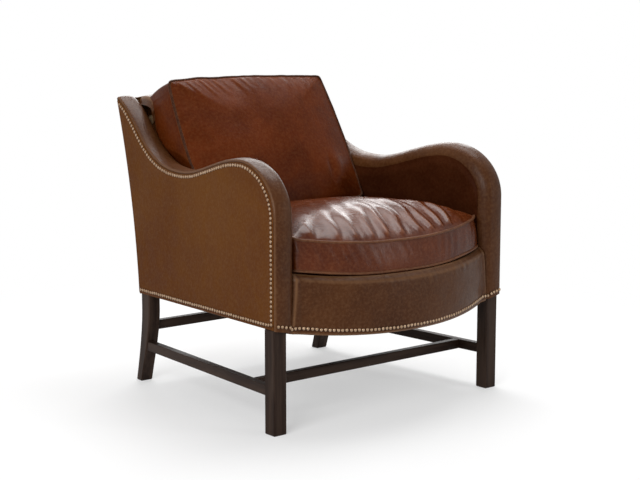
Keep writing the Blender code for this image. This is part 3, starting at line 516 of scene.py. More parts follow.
# Inside arm leather: the arm leather made darker, painted shade for the inner arms.
INNER_PAINTED_SHADE = leather("leather_inner_painted_shade", (0.026, 0.0055, 0.0016), (0.046, 0.0115, 0.0032), (0.1, 0.04, 0.016),
                rough=(0.45, 0.58), gloss=0.02)
WELT = leather("leather_welt", (0.024, 0.0065, 0.0025), (0.046, 0.0145, 0.006), (0.2, 0.1, 0.055), wear_and_painted_light=0.3,
               gloss=0.06)
SEAT_WELT = leather("leather_seat_welt", (0.06, 0.018, 0.007), (0.13, 0.048, 0.02), (0.36, 0.2, 0.11),
                    wear_and_painted_light=0.5, gloss=0.1)
BRASS = brass("antique_brass")
STAIN = (0.018, 0.0095, 0.0065), (0.04, 0.024, 0.017)
LEG_WOOD, CROSS_WOOD, SIDE_WOOD = (wood("wood_" + word, axis, *STAIN)
                                   for word, axis in (("upright", 2), ("across", 0), ("lengthwise", 1)))
RAW_WOOD = wood("raw_hardwood", 0, (0.3, 0.19, 0.1), (0.48, 0.34, 0.2), 0.62)
DECKING = cloth("brown_decking", (0.22, 0.04, 0.014), (0.1, 0.016, 0.006), 500.0)
DUST = cloth("black_cambric", (0.022, 0.022, 0.024), (0.008, 0.008, 0.009))
SPRING = steel("spring_steel")

NODE_LOOKS = {
    "front_leg": LEG_WOOD, "back_leg": LEG_WOOD, "side_stretcher": SIDE_WOOD, "cross_stretcher": CROSS_WOOD,
    "back_stretcher": CROSS_WOOD, "side_rail": RAW_WOOD, "front_rail": RAW_WOOD, "back_rail": RAW_WOOD,
    "back_mid_rail": RAW_WOOD, "crest_rail": RAW_WOOD, "front_corner_block": RAW_WOOD,
    "rear_corner_block": RAW_WOOD, "arm_frame": RAW_WOOD, "seat_deck_pad": DECKING, "dust_cover": DUST,
    "seat_spring": SPRING,
}
for node_name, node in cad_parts.items():
    for prefix, look in NODE_LOOKS.items():
        if node_name.startswith(prefix):
            for material_slot in node.material_slots:
                material_slot.material = look


# Arms

def soft_lumps(points, seed, tall=1.0):
    """Slow unevenness of stuffed leather."""
    return tall * (0.0011 * noise(points, 0.085, seed) + 0.00045 * noise(points, 0.032, seed + 1)
                   + 0.00012 * noise(points, 0.011, seed + 2))


def arm_roll(side):
    """Padded roll from the front hem up, over the arm and up the wing."""
    seam = arm_seam(0.0045)
    normals = run_normals(seam)
    normals[0] = (-1.0, 0.0)
    lean = BACK_RAKE + 2 * BACK_BOW * (TOP_Z - HEM_REAR)
    normals[-1] = np.array((lean, 1.0)) / math.hypot(lean, 1)
    count = len(seam)
    past_dip = smooth((seam[:, 0] - DIP_U) / (seam[-1, 0] - DIP_U)) * (seam[:, 0] > DIP_U)
    width = blend(arm_inner(seam[:, 0]), WING_WIDTH, past_dip) / ARM_SLIM
    profile = np.array([
        (0.0046, -0.008), (0.004, -0.003), (0.0022, 0.0), (0.0012, 0.0022), (0.0018, 0.0046),
        (0.0045, 0.0066), (0.01, 0.0078), (0.018, 0.0088), (0.027, 0.0091), (0.036, 0.0084), (0.044, 0.0064),
        (0.0505, 0.0026), (0.056, -0.0034), (0.06, -0.011), (0.063, -0.019), (0.0645, -0.027)])
    profile = even_run(profile, 0.0027)
    steps = len(profile)
    length = np.concatenate([[0], np.cumsum(np.linalg.norm(np.diff(seam, axis=0), axis=1))])
    grid = np.zeros((count, steps, 3))
    for j, (v, out) in enumerate(profile):
        inner = max(0.0, v - 0.036) / (ARM_SLIM - 0.036)
        fold = noise_line(length, 0.014, 3 + side) + 0.6 * noise_line(length, 0.006, 5)
        fold = inner ** 1.5 * 0.0016 * fold
        gather = fold * smooth((seam[:, 0] - 0.06) / 0.1)
        tuck = 0.04 * past_dip * smooth((-out - 0.012) / 0.015)
        place = out + gather - tuck
        low = HEM_CORNER_DROP * np.clip(v / ARM_SLIM, 0, 1) ** 1.2 * np.clip(1 - length / 0.03, 0, 1)
        rise = seam[:, 1] + place * normals[:, 1] - low
        reach = np.minimum(seam[:, 0] + place * normals[:, 0], side_u(back_y(rise)) - PANEL)
        points = side_point(side, reach, v * width, rise)
        grid[:, j] = points
    grown = grid_normals(grid)
    if ((grown[count // 3, steps // 2] * np.array((0, -1, 0.3))).sum()) < 0:
        grown = -grown
    mask = np.clip(1 - np.abs(profile[:, 0] - 0.036) / 0.034, 0, 1)[None, :] ** 0.5
    grid = grid + grown * (soft_lumps(grid, 11 + side) * mask)[..., None]
    return add_leather("arm_roll_leather_" + SIDE_WORDS[side], grid, BODY,
                       "arm_roll_" + SIDE_WORDS[side], side_point(side, 0.25, 0.036, 0.45))


def panel_columns(seam, rows, low):
    """Grid of (u, z) under the seam: its columns lean with the raked back."""
    reach = side_u(back_y(seam[:, 1]))
    share = seam[:, 0] / reach
    t = np.linspace(0, 1, rows)[:, None]
    z = blend(low(share), seam[:, 1], t)
    return share * side_u(back_y(z)), z


def outside_panel(side):
    """Leather over the flat outer side, pulled in a little along its nailed edges."""
    seam = arm_seam(0.0035)
    start = int(np.argmax(seam[:, 1] >= ARM_SPRING_Z - 1e-4))
    seam = seam[start:]
    seam[0, 0] = 0.0
    normals = run_normals(seam)
    inner = seam - 0.0006 * normals
    inner[0, 0] = 0.0006
    u, z = panel_columns(inner, 110, lambda s: hem_z(s * side_u(BACK_Y)) + 0.0004)
    u = np.maximum(u, 0.0006)
    bulge = 0.0011 * noise(np.stack([u, z, z * 0 + side], -1), 0.14, 21)
    bulge += 0.0006 * noise(np.stack([u, z, z * 0 + side], -1), 0.05, 22)
    full = arm_seam(0.002)
    edge_gap = np.full(u.shape, 1.0)
    for piece in np.array_split(full, 12):
        far = np.hypot(u[..., None] - piece[:, 0], z[..., None] - piece[:, 1]).min(-1)
        edge_gap = np.minimum(edge_gap, far)
    edge_gap = np.minimum(edge_gap, z - hem_z(u))
    edge_gap = np.minimum(edge_gap, side_u(back_y(z)) - u)
    v = -bulge * smooth(edge_gap / 0.05) - 0.0007 * smooth(edge_gap / 0.004)
    v += 0.0026 * (1 - smooth(edge_gap / 0.0032))
    tug = smooth(edge_gap / 0.012) * (1 - smooth((edge_gap - 0.012) / 0.02))
    v += 0.0005 * tug * noise(np.stack([u, z, z * 0], -1), 0.01, 25)
    grid = side_point(side, u, v, z)
    rim = side_point(side, u[-1] - 0.0004, v[-1] + 0.004, z[-1] - 0.001)
    low_rim = side_point(side, u[0], v[0] + 0.004, z[0] + 0.0005)
    grid = np.concatenate([low_rim[None], grid, rim[None]])
    piece = add_leather("outside_arm_leather_" + SIDE_WORDS[side], grid, OUTSIDE,
                        "outside_arm_panel_" + SIDE_WORDS[side], (0.0, 0.0, 0.45))
    # Painted shade beside the nail rows along the seam and the hem: the leather is darkened there.
    seam_nail_shade = np.exp(-((edge_gap - NAIL_INSET) / NAIL_SHADE) ** 2) * (u < side_u(back_y(z)) - 0.01)
    nail_row_shade = np.maximum(seam_nail_shade, np.exp(-((z - hem_z(u) - HEM_NAIL_RISE) / NAIL_SHADE) ** 2))
    paint_nail_shade(piece, np.concatenate([nail_row_shade[:1], nail_row_shade, nail_row_shade[-1:]]), 0.85)
    return piece


def inside_arm(side):
    """Padded inner face of an arm, in leather darkened as painted shade."""
    seam = arm_seam(0.006)
    keep = (seam[:, 1] > 0.4)
    seam = seam[keep]
    normals = run_normals(seam)
    inner = seam - 0.0235 * normals
    inner[:, 0] = np.maximum(inner[:, 0], 0.022)
    u, z = panel_columns(inner, 60, lambda s: s * 0 + 0.3505)
    u = np.maximum(u, 0.0235)
    limit = side_u(BACK_FACE_Y + BACK_FACE_SLOPE * (z - BACK_FACE_Z) + 0.004)
    u = np.minimum(u, limit)
    free = smooth((z - 0.475) / 0.03)
    top_gap = (inner[:, 1][None, :] - z)
    puff = 0.0045 * free * smooth(top_gap / 0.025)
    flat = np.stack([u, z, z * 0 + 2 * side], -1)
    gather = 0.0009 * noise(flat * np.array((1, 0.18, 1)), 0.012, 31) * smooth((0.09 - top_gap) / 0.07)
    wave = 0.0016 * noise(flat * np.array((1, 0.5, 1)), 0.07, 33)
    v = arm_inner(u) + 0.0004 + puff + free * (gather + wave) * smooth(top_gap / 0.012)
    grid = side_point(side, u, v, z)
    return add_leather("inside_arm_leather_" + SIDE_WORDS[side], grid, INNER_PAINTED_SHADE,
                       "inside_arm_pad_" + SIDE_WORDS[side], (side * 0.5, 0.0, 0.45))


# Front border

def border_end(z):
    """Half the width at which the border meets the arm's front band."""
    return blend(0.337, 0.325, np.clip((z - 0.25) / 0.13, 0, 1))


def border_leather():
    """Bowed, padded front border that tucks in beside the arms and over the rail."""
    columns, rows = 181, 44
    s = np.linspace(-1, 1, columns)
    t = np.linspace(0, 1, rows)[:, None]
    low = border_hem(s * BORDER_HALF)
    high = BORDER_TOP + 0.006 + 0.02 * np.abs(s) ** 3
    z = blend(low, high, t) + 0 * s
    x = s * border_end(z)
    base = border_y(x)
    over = np.abs(x) - BORDER_HALF
    base = base + np.where(over > 0, 0.001 * smooth(over / 0.016), 0)
    base = base + 0.012 * smooth((np.abs(s) - 0.965) / 0.035)
    top_round = smooth((z - (high - 0.02)) / 0.022) ** 2 * 0.017
    hem_round = (1 - smooth((z - low) / 0.005)) * 0.003
    puff = 0.0035 * np.sin(np.pi * t) * smooth((1 - np.abs(s)) / 0.06)
    flat = np.stack([x, z, z * 0], -1)
    wave = 0.0015 * noise(flat, 0.11, 41) + 0.0007 * noise(flat, 0.04, 42)
    dents = 0.0022 * np.exp(-((np.abs(x) - 0.288) / 0.014) ** 2) * noise(flat, 0.024, 44)
    puckers = 0.0008 * noise(flat * np.array((1, 0.2, 1)), 0.013, 43) * smooth((z - 0.325) / 0.03)
    y = base - puff - (wave + puckers + dents) * smooth((z - low) / 0.02) + top_round + hem_round
    grid = np.stack([x, y - ORIGIN_Y, z], -1)
    lap = []
    for step in (0.008, 0.02, 0.032):
        row = grid[-1].copy()
        row[:, 1] = np.maximum(row[:, 1], border_y(x[-1]) - ORIGIN_Y) + step
        row[:, 2] -= 0.004 * smooth(step / 0.02)
        lap.append(row)
    under = grid[0].copy()
    under[:, 1] += 0.012
    grid = np.concatenate([under[None], grid, np.array(lap)])
    piece = add_leather("front_border_leather", grid, BODY, "front_border", (0.0, 0.1, 0.3),
                        reach=6)
    # Painted shade beside the hem's row of nails: the leather is darkened there.
    nail_row_shade = np.exp(-((z - low - HEM_NAIL_RISE) / NAIL_SHADE) ** 2)
    paint_nail_shade(piece, np.concatenate([nail_row_shade[:1], nail_row_shade, nail_row_shade[-1:], nail_row_shade[-1:], nail_row_shade[-1:]]), 0.85)
    return piece


# Back

def crest_z(x):
    """Height of the back's arched top."""
    half = 0.263
    return TOP_Z + CREST_RISE + CREST_ARCH * (1 - np.minimum(1, np.abs(x) / half) ** 2)


def inside_back():
    """Padded inner back that rolls over the crest."""
    columns = 91
    s = np.linspace(-1, 1, columns)
    rows = []
    inner = ARM_WIDTH - 0.016

    def row(y, z):
        return np.stack(np.broadcast_arrays(s * half_width(y, inner), y - ORIGIN_Y, z), -1)

    arch = CREST_ARCH * (1 - s * s)
    crest = TOP_Z + CREST_RISE + arch
    face_top = TOP_Z - 0.026 + arch
    for t in np.linspace(0, 1, 26):
        z = blend(BACK_FACE_Z + 0 * s, face_top, t)
        rows.append(row(BACK_FACE_Y + BACK_FACE_SLOPE * (z - BACK_FACE_Z), z))
    start = BACK_FACE_Y + BACK_FACE_SLOPE * (face_top - BACK_FACE_Z)
    end = back_y(crest) - PANEL - 0.0015
    outline = even_run(np.array([(0.0, 0.0), (0.05, 0.42), (0.17, 0.8), (0.36, 0.98), (0.6, 1.04),
                                 (0.82, 1.0), (0.95, 0.88), (1.0, 0.62)]), 0.08)
    for share, lift in outline[1:]:
        rows.append(row(blend(start, end, share), blend(face_top, crest, lift)))
    grid = np.array(rows)
    shoulder = 0.016 * smooth((grid[..., 2] - 0.69) / 0.06) * smooth((np.abs(s) - 0.86) / 0.08)[None, :]
    shoulder *= 1 - smooth((grid[..., 1] - (start + 0.012 - ORIGIN_Y)[None, :]) / 0.03)
    grid[..., 1] -= 0.5 * shoulder
    dive = 0.02 * smooth((np.abs(s) - 0.93) / 0.07)[None, :] * smooth((grid[..., 2] - 0.7) / 0.03)
    grid[..., 1] -= 0.4 * dive
    grid[..., 2] -= dive
    lumps = soft_lumps(grid, 51)[..., None] * smooth((1 - np.abs(s)) / 0.06)[None, :, None]
    grid = grid + lumps * np.array((0, -1, 0.5))
    return add_leather("inside_back_leather", grid, BODY, "inside_back_pad", (0.0, 0.33, 0.6))


def outside_back():
    """Leather over the outer back, from the hem to the arched top."""
    columns, count = 121, 90
    s = np.linspace(-1, 1, columns)
    rows = []
    for t in np.linspace(0, 1, count):
        x_top = s * (HALF_FRONT - side_u(back_y(TOP_Z)) * math.sin(SIDE_TAPER))
        z = blend(HEM_REAR + 0 * s, crest_z(x_top) - 0.001, t)
        half = HALF_FRONT - side_u(back_y(z)) * math.sin(SIDE_TAPER) - 0.0006
        rows.append(np.stack([s * half, back_y(z) - ORIGIN_Y, z], -1))
    grid = np.array(rows)
    gap = np.minimum((1 - np.abs(s))[None, :] * 0.33, grid[..., 2] - HEM_REAR)
    gap = np.minimum(gap, grid[-1, :, 2][None, :] - grid[..., 2])
    out = 0.0012 * noise(grid, 0.13, 61) * smooth(gap / 0.05) - 0.003 * (1 - smooth(gap / 0.0045))
    out += 0.0004 * noise(grid, 0.012, 62) * smooth(gap / 0.01) * (1 - smooth((gap - 0.01) / 0.03))
    grid[..., 1] += out
    rim = grid[-1].copy()
    rim[:, 1] -= 0.005
    rim[:, 2] -= 0.0008
    under = grid[0].copy()
    under[:, 1] -= 0.005
    grid = np.concatenate([under[None], grid, rim[None]])
    return add_leather("outside_back_leather", grid, OUTSIDE, "outside_back_panel",
                       (0.0, 0.0, 0.45))


# Nails

def nail_rows():
    """Places and outward directions of every nail."""
    nails = []
    seam = arm_seam(0.001)
    normals = run_normals(seam)
    row = seam - NAIL_INSET * normals
    row[:, 0] = np.maximum(row[:, 0], NAIL_INSET)
    row = row[row[:, 1] > HEM_FRONT + HEM_NAIL_CORNER]
    row = row[row[:, 0] < side_u(back_y(row[:, 1])) - 0.012]
    row = even_run(row, NAIL_PITCH)
    for side in (-1, 1):
        outward = np.array((side * math.cos(SIDE_TAPER), math.sin(SIDE_TAPER), 0.0))
        for u, z in row:
            nails.append((side_point(side, u, -0.0006, z), outward))
        u = np.linspace(NAIL_INSET + NAIL_PITCH, side_u(BACK_Y) - 0.012, SIDE_NAILS)
        for along in u:
            rise = blend(HEM_NAIL_CORNER, HEM_NAIL_RISE, min(1.0, along / 0.03))
            nails.append((side_point(side, along, -0.0006, hem_z(along) + rise), outward))
        for v in BAND_NAILS:
            drop = HEM_CORNER_DROP * (v / ARM_SLIM) ** 1.2
            place = side_point(side, BAND_FACE, v, HEM_FRONT + BAND_NAIL_RISE - drop)
            nails.append((place, np.array((side * -math.sin(SIDE_TAPER), -math.cos(SIDE_TAPER), 0.0))))
    x = np.linspace(-0.331, 0.331, 2001)
    over = np.abs(x) - BORDER_HALF
    y = border_y(x) + np.where(over > 0, 0.001 * smooth(over / 0.016), 0)
    run = even_run(np.stack([x, y - ORIGIN_Y, border_hem(x) + HEM_NAIL_RISE], -1),
                   NAIL_PITCH)
    along = np.gradient(run, axis=0)
    for place, step in zip(run, along):
        outward = np.array((step[1], -step[0], 0.0))
        nails.append((place + np.array((0, -0.0012, 0)), outward / np.linalg.norm(outward)))
    half = side_xy(1, side_u(BACK_Y), 0.0)[0] - 0.008
    for x in np.linspace(-half, half, int(2 * half / NAIL_PITCH)):
        z = HEM_REAR + HEM_NAIL_RISE
        nails.append((np.array((x, back_y(z) - ORIGIN_Y + 0.0004, z)), np.array((0.0, 1.0, 0.0))))
    return nails


def add_nails():
    """Domed nail heads as one piece."""
    chance = np.random.default_rng(7)
    angle = 2 * math.pi * np.arange(NAIL_SIDES) / NAIL_SIDES
    points, faces, rub_and_highlight, tones = [], [], [], []
    for place, outward in nail_rows():
        across = np.cross(outward, (0.0, 0.0, 1.0))
        up = np.cross(across, outward)
        tilt = chance.normal(0, 0.05, 2)
        axis = outward + tilt[0] * across + tilt[1] * up
        radius = NAIL_RADIUS * chance.uniform(0.96, 1.03)
        shift = chance.normal(0, 0.0003, 2)
        centre = place + shift[0] * across + shift[1] * up
        tone = chance.uniform(0, 1)
        base = len(points)
        for scale, rise in NAIL_RINGS:
            for turn in angle:
                points.append(centre + radius * scale * (math.cos(turn) * across + math.sin(turn) * up)
                              + axis * (NAIL_HEIGHT * rise - NAIL_SUNK))
                rub_and_highlight.append(rise)
        points.append(centre + axis * (NAIL_HEIGHT - NAIL_SUNK))
        rub_and_highlight.append(1.0)
        top = len(points) - 1
        tones += [tone] * (top + 1 - base)
        for face in grid_faces(len(NAIL_RINGS), NAIL_SIDES, closed=True):
            faces.append(tuple(base + i for i in face))
        last = top - NAIL_SIDES
        for k in range(NAIL_SIDES):
            faces.append((last + k, last + (k + 1) % NAIL_SIDES, top))
    piece = add_mesh("brass_nails", points, faces, BRASS)
    # Rise on each dome: rubbed top with painted highlight, painted shade at the foot.
    store(piece, "wear_and_painted_light", rub_and_highlight)
    store(piece, "tone", tones)


# Cushions

def tube(points, radius, sides=10):
    """Grid of a round cord along a closed run of points."""
    along = np.roll(points, -1, 0) - np.roll(points, 1, 0)
    along /= np.linalg.norm(along, axis=1)[:, None]
    guide = np.cross(along, np.cross(np.array((0.13, 0.21, 1.0)), along))
    guide /= np.linalg.norm(guide, axis=1)[:, None]
    other = np.cross(along, guide)
    angle = np.linspace(0, 2 * math.pi, sides, endpoint=False)[None, :, None]
    around = np.cos(angle) * guide[:, None, :] + np.sin(angle) * other[:, None, :]
    return points[:, None, :] + radius[:, None, None] * around


def add_cord(name, points, radius, material, replaced):
    """Add a closed round cord."""
    grid = tube(points, radius)
    rows, columns = grid.shape[:2]
    faces = grid_faces(rows, columns, closed=True)
    for j in range(columns):
        k = (j + 1) % columns
        faces.append(((rows - 1) * columns + j, (rows - 1) * columns + k, k, j))
    piece = add_mesh(name, grid, faces, material, replaced)
    mark_ridges_and_hollows(piece, 3, 500)


def square_grid(count):
    """Square of parameters from -1 to 1 whose corners are slightly rounded."""
    k = CORNER_POWER
    line = np.linspace(-1, 1, count)
    line = np.sign(line) * (1 - (1 - np.abs(line)) ** 1.06)
    a, b = np.meshgrid(line, line)
    far = np.maximum(np.abs(a), np.abs(b))
    rounded = (np.abs(a) ** k + np.abs(b) ** k) ** (1 / k)
    pull = np.where(rounded > 0, far / np.maximum(rounded, 1e-9), 1.0)
    return a * pull, b * pull


def grid_loop(count):
    """Indices of the boundary of a square grid, in order."""
    edge = np.arange(count * count).reshape(count, count)
    return np.concatenate([edge[0], edge[1:, -1], edge[-1, -2::-1], edge[-2:0:-1, 0]])


def ring_faces(upper, lower):
    """Faces between two closed rings of points, given by their indices."""
    corners = zip(np.roll(upper, -1), upper, lower, np.roll(lower, -1))
    return [tuple(int(i) for i in face) for face in corners]


def make_cushion(name, face, crown, swell, gathers, rest_scale, material, replaced, count, limit, keep_clear):
    """Blow up a welted cushion: its seams stay put, its spare leather gathers against them."""
    a, b = square_grid(count)
    top = face(a, b, np.ones_like(a)) + crown(a, b)
    loop = grid_loop(count)
    la, lb = a.ravel()[loop], b.ravel()[loop]
    points = [top.reshape(-1, 3)]
    faces = grid_faces(count, count)
    base = count * count
    previous = loop
    turns = len(loop)
    centre = top.reshape(-1, 3).mean(0)
    for row in range(1, BOXING_ROWS + 1):
        level = 1 - row / BOXING_ROWS
        ring = face(la, lb, np.full(la.shape, level)) + swell(la, lb, level)
        points.append(ring)
        current = base + (row - 1) * turns + np.arange(turns)
        faces += ring_faces(previous, current)
        previous = current
    points = np.concatenate(points)
    piece = add_mesh(name, points, faces, material, replaced)
    held = np.concatenate([loop, previous])
    start = points.copy()
    rest = centre + (points - centre) * np.array(rest_scale)
    points = inflate(piece, rest, held)
    move = points - start
    far = np.linalg.norm(move, axis=1)
    move *= (np.minimum(far, limit) / np.maximum(far, 1e-9))[:, None]
    points = start + move
    for row in range(1, BOXING_ROWS):
        low = base + (row - 1) * turns
        points[low:low + turns] += gathers(la, lb, 1 - row / BOXING_ROWS)
    points = keep_clear(points)
    under = []
    ring = points[previous]
    middle = ring.mean(0)
    for scale in (0.985, 0.93, 0.8, 0.6, 0.35):
        ring = face(la * scale, lb * scale, np.zeros(la.shape))
        under.append(ring + swell(la * scale, lb * scale, -1.0 + scale))
    all_faces = list(faces)
    last = previous
    total = len(points)
    for ring in under:
        current = total + np.arange(turns)
        total += turns
        all_faces += ring_faces(last, current)
        last = current
    for i in range(turns // 2 - 1):
        all_faces.append(tuple(int(last[k]) for k in (turns - 1 - i, turns - 2 - i, i + 1, i)))
    points = np.concatenate([points] + under)
    old = piece.data
    mesh = bpy.data.meshes.new(name)
    mesh.from_pydata([tuple(p) for p in points], [], all_faces)
    mesh.shade_smooth()
    mesh.materials.append(material)
    piece.data = mesh
    bpy.data.meshes.remove(old)
    outward_mesh(piece, middle)
    finer = piece.modifiers.new("finer", "SUBSURF")
    finer.levels = finer.render_levels = 1
    bake_modifiers(piece)
    mark_ridges_and_hollows(piece, 7, 900)
    return points[loop], points[previous]


def bake_modifiers(piece):
    """Write the result of a piece's modifiers into its mesh."""
    bpy.context.view_layer.update()
    graph = bpy.context.evaluated_depsgraph_get()
    mesh = bpy.data.meshes.new_from_object(piece.evaluated_get(graph))
    piece.modifiers.clear()
    old = piece.data
    piece.data = mesh
    bpy.data.meshes.remove(old)


def inflate(piece, rest, held):
    """Run the cloth and return where its points end."""
    scene = bpy.context.scene
    piece.shape_key_add(name="Basis")
    key = piece.shape_key_add(name="rest")
    key.data.foreach_set("co", rest.ravel())
    group = piece.vertex_groups.new(name="seams")
    group.add([int(i) for i in held], 1.0, "REPLACE")
    modifier = piece.modifiers.new("cloth", "CLOTH")
    settings = modifier.settings
    wanted = dict(
        quality=7, mass=0.35, tension_stiffness=60, compression_stiffness=60, shear_stiffness=30,
        bending_stiffness=12, tension_damping=12, compression_damping=12, shear_damping=12, bending_damping=1,
        air_damping=3, use_pressure=True, uniform_pressure_force=PRESSURE, vertex_group_mass="seams",
        pin_stiffness=1)
    for key, value in wanted.items():
        setattr(settings, key, value)
    settings.rest_shape_key = piece.data.shape_keys.key_blocks["rest"]
    settings.effector_weights.gravity = 0.0
    modifier.collision_settings.use_collision = False
    modifier.collision_settings.use_self_collision = False
    modifier.point_cache.frame_start = 1
    modifier.point_cache.frame_end = FRAMES
    for number in range(1, FRAMES + 1):
        scene.frame_set(number)
    graph = bpy.context.evaluated_depsgraph_get()
    shaped = piece.evaluated_get(graph)
    place = read(shaped.to_mesh().vertices, "co", 3)
    shaped.to_mesh_clear()
    piece.modifiers.clear()
    scene.frame_set(1)
    piece.shape_key_clear()
    return place


def seat_face(a, b, level):
    """Outline plane of the seat cushion, with its front bowed."""
    corner_y = SEAT_CORNER_Y + SEAT_TOP_SET_BACK * level
    share = (b + 1) / 2
    front = corner_y - SEAT_BOW * (1 - a * a)
    y = blend(front, SEAT_REAR_Y, share)
    x = a * inner_half(np.maximum(y, corner_y), WELT_RADIUS + 0.0006)
    frontness = smooth(1 - (y + SEAT_BOW) / 0.16)
    across = np.minimum(1.0, np.abs(x) / BORDER_HALF)
    z = blend(SEAT_WELT_LOW, SEAT_WELT_HIGH, level)
    z = z + frontness * (SEAT_CORNER_LIFT * across ** 3 - SEAT_WELT_SAG * (1 - across ** 3))
    edge = np.maximum(np.abs(a), np.abs(b)) > 0.999
    stir = np.stack([x, y, z * 0 + level], -1)
    z = z + np.where(edge, 0.0008 * noise(stir, 0.06, 71), 0)
    return np.stack([x, y - ORIGIN_Y, z], -1)


SEAT_FOLDS = (
    # x at the front seam, width, height, how far back it runs, drift
    (-0.262, 0.03, 0.006, 0.19, 0.3), (-0.196, 0.018, 0.004, 0.24, 0.34),
    (-0.15, 0.02, 0.005, 0.26, 0.3), (-0.098, 0.017, 0.0058, 0.2, 0.26),
    (-0.05, 0.019, 0.0062, 0.22, 0.24), (0.006, 0.02, 0.0064, 0.2, 0.2),
    (0.062, 0.018, 0.0046, 0.23, 0.16), (0.108, 0.016, 0.0058, 0.25, 0.14),
    (0.15, 0.014, 0.0056, 0.27, 0.1), (0.19, 0.014, 0.006, 0.2, 0.06),
    (0.236, 0.022, 0.003, 0.14, 0.0),
)


def seat_crown(a, b):
    """Crown of the seat, pressed at the back, with the folds that run back from its front seam."""
    place = seat_face(a, b, np.ones_like(a))
    x, y = place[..., 0], place[..., 1] + ORIGIN_Y
    far = np.maximum(np.abs(a), np.abs(b))
    pressed = 1 - 0.42 * smooth((y - SEAT_MIDDLE_Y) / 0.2)
    rise = 1.0 * SEAT_CROWN * (1 - far ** 2.6) ** 0.75 * pressed
    depth = y - (SEAT_CORNER_Y + SEAT_TOP_SET_BACK - SEAT_BOW * (1 - a * a))
    fold = np.zeros_like(x)
    for centre, width, tall, run, drift in SEAT_FOLDS:
        off = x - (centre + drift * depth + 0.01 * noise_line(depth + centre * 7, 0.07, 73))
        wide = width * (0.38 + 1.25 * depth / run)
        ridge = np.exp(-(off / wide) ** 2) - 0.45 * np.exp(-((off - 1.25 * wide) / (0.5 * wide)) ** 2)
        fold += tall * ridge * smooth(depth / 0.018) * (1 - smooth((depth - 0.45 * run) / (0.85 * run)))
    streak = np.stack([x - 0.22 * depth, depth * 0.12, x * 0], -1)
    streaks = 0.0011 * noise(streak, 0.012, 72) + 0.0014 * noise(streak, 0.026, 74)
    fold += streaks * (1 - smooth((depth - 0.16) / 0.16))
    edge = smooth((1 - far) / 0.05)
    return np.stack([x * 0, x * 0, (rise + fold * edge)], -1)


def seat_swell(a, b, level):
    """Swell of the boxing's front, or the belly of the underside."""
    zero = np.zeros_like(a)
    if level < 0:
        return np.stack([zero, zero, zero - 0.006 * smooth(-level / 0.3)], -1)
    out = smooth(-b - 0.4) * 0.006 * math.sin(math.pi * level)
    return np.stack([zero, -out, zero], -1)


def seat_gathers(a, b, level):
    """Slanted gathers of the front boxing, deepest near the corners."""
    place = seat_face(a, b, np.full(a.shape, level))
    x = place[:, 0]
    run = x + 0.42 * place[:, 2] * np.where(x < 0.1, 1, -0.4)
    strong = 0.55 + 0.9 * smooth((-x - 0.12) / 0.14) + 0.5 * np.exp(-((x - 0.15) / 0.05) ** 2)
    strength = strong * (0.7 + 0.5 * noise_line(x + 3, 0.05, 78))
    wave = np.sin(2 * math.pi * run / 0.03 + 2.4 * noise_line(run, 0.045, 75))
    pleat = 0.0016 * wave * np.abs(wave) ** 0.3 + 0.0009 * noise_line(run, 0.009, 76)
    bow = math.sin(math.pi * level)
    fade = bow ** 0.7 * (0.55 + 0.75 * level)
    out = smooth(-b - 0.4) * strength * pleat * fade
    return np.stack([x * 0, -out, x * 0], -1)


def seat_clear(points):
    """Keep the seat off the arms, the deck and the back."""
    y = points[:, 1] + ORIGIN_Y
    half = inner_half(np.maximum(y, -0.02), 0.0008)
    points[:, 0] = np.clip(points[:, 0], -half, half)
    points[:, 2] = np.maximum(points[:, 2], DECK_TOP + 0.0006)
    points[:, 1] = np.minimum(points[:, 1], BACK_FACE_Y - ORIGIN_Y - 0.002)
    return points


def back_place(x, t, w):
    """World place from the back cushion's own plane: across, up its slope, and out of it."""
    tilt = math.pi / 2 - CUSHION_TILT
    y = CUSHION_FOOT_Y - ORIGIN_Y + t * math.cos(tilt) - w * math.sin(tilt)
    z = CUSHION_FOOT_Z + t * math.sin(tilt) + w * math.cos(tilt)
    return np.stack([x, y, z], -1)


def off_back(w):
    """Move out of the back cushion's plane."""
    tilt = math.pi / 2 - CUSHION_TILT
    return np.stack([w * 0, -w * math.sin(tilt), w * math.cos(tilt)], -1)


def up_back(t):
    """Move up the back cushion's slope."""
    return back_place(t * 0, t, t * 0) - back_place(t * 0, t * 0, t * 0)


def back_edges(a, b):
    """How far a place of the boxing belongs to its top, and to its sides."""
    top = smooth((b - 0.7) / 0.25)
    return top, smooth((np.abs(a) - 0.9) / 0.09) * (1 - top)


def back_face(a, b, level):
    """Outline planes of the back cushion: level 1 is its front seam, 0 its rear seam."""
    part = (b + 1) / 2
    half = blend(CUSHION_HALF_FOOT, CUSHION_HALF_TOP, part) + CUSHION_BARREL * np.sin(np.pi * part) ** 0.9
    t = CUSHION_HEIGHT * part + CUSHION_TOP_ARCH * (1 - a * a) * part
    ripple = 0.0022 * noise_line(a * 0.26, 0.06, 81) + 0.0012 * noise_line(a * 0.26, 0.022, 82)
    ripple = smooth((b - 0.75) / 0.25) * ripple
    t = t + ripple
    x = a * half
    rear_t = CUSHION_REAR_RISE + (CUSHION_HEIGHT - CUSHION_REAR_RISE + CUSHION_REAR_TOP) * t / CUSHION_HEIGHT
    depth = blend(CUSHION_DEPTH_FOOT, CUSHION_DEPTH_TOP, t / CUSHION_HEIGHT)
    x = blend(CUSHION_REAR_WIDTH * x, x, level)
    t = blend(rear_t, t, level)
    w = blend(-depth, 0.0, level)
    return back_place(x, t, w)


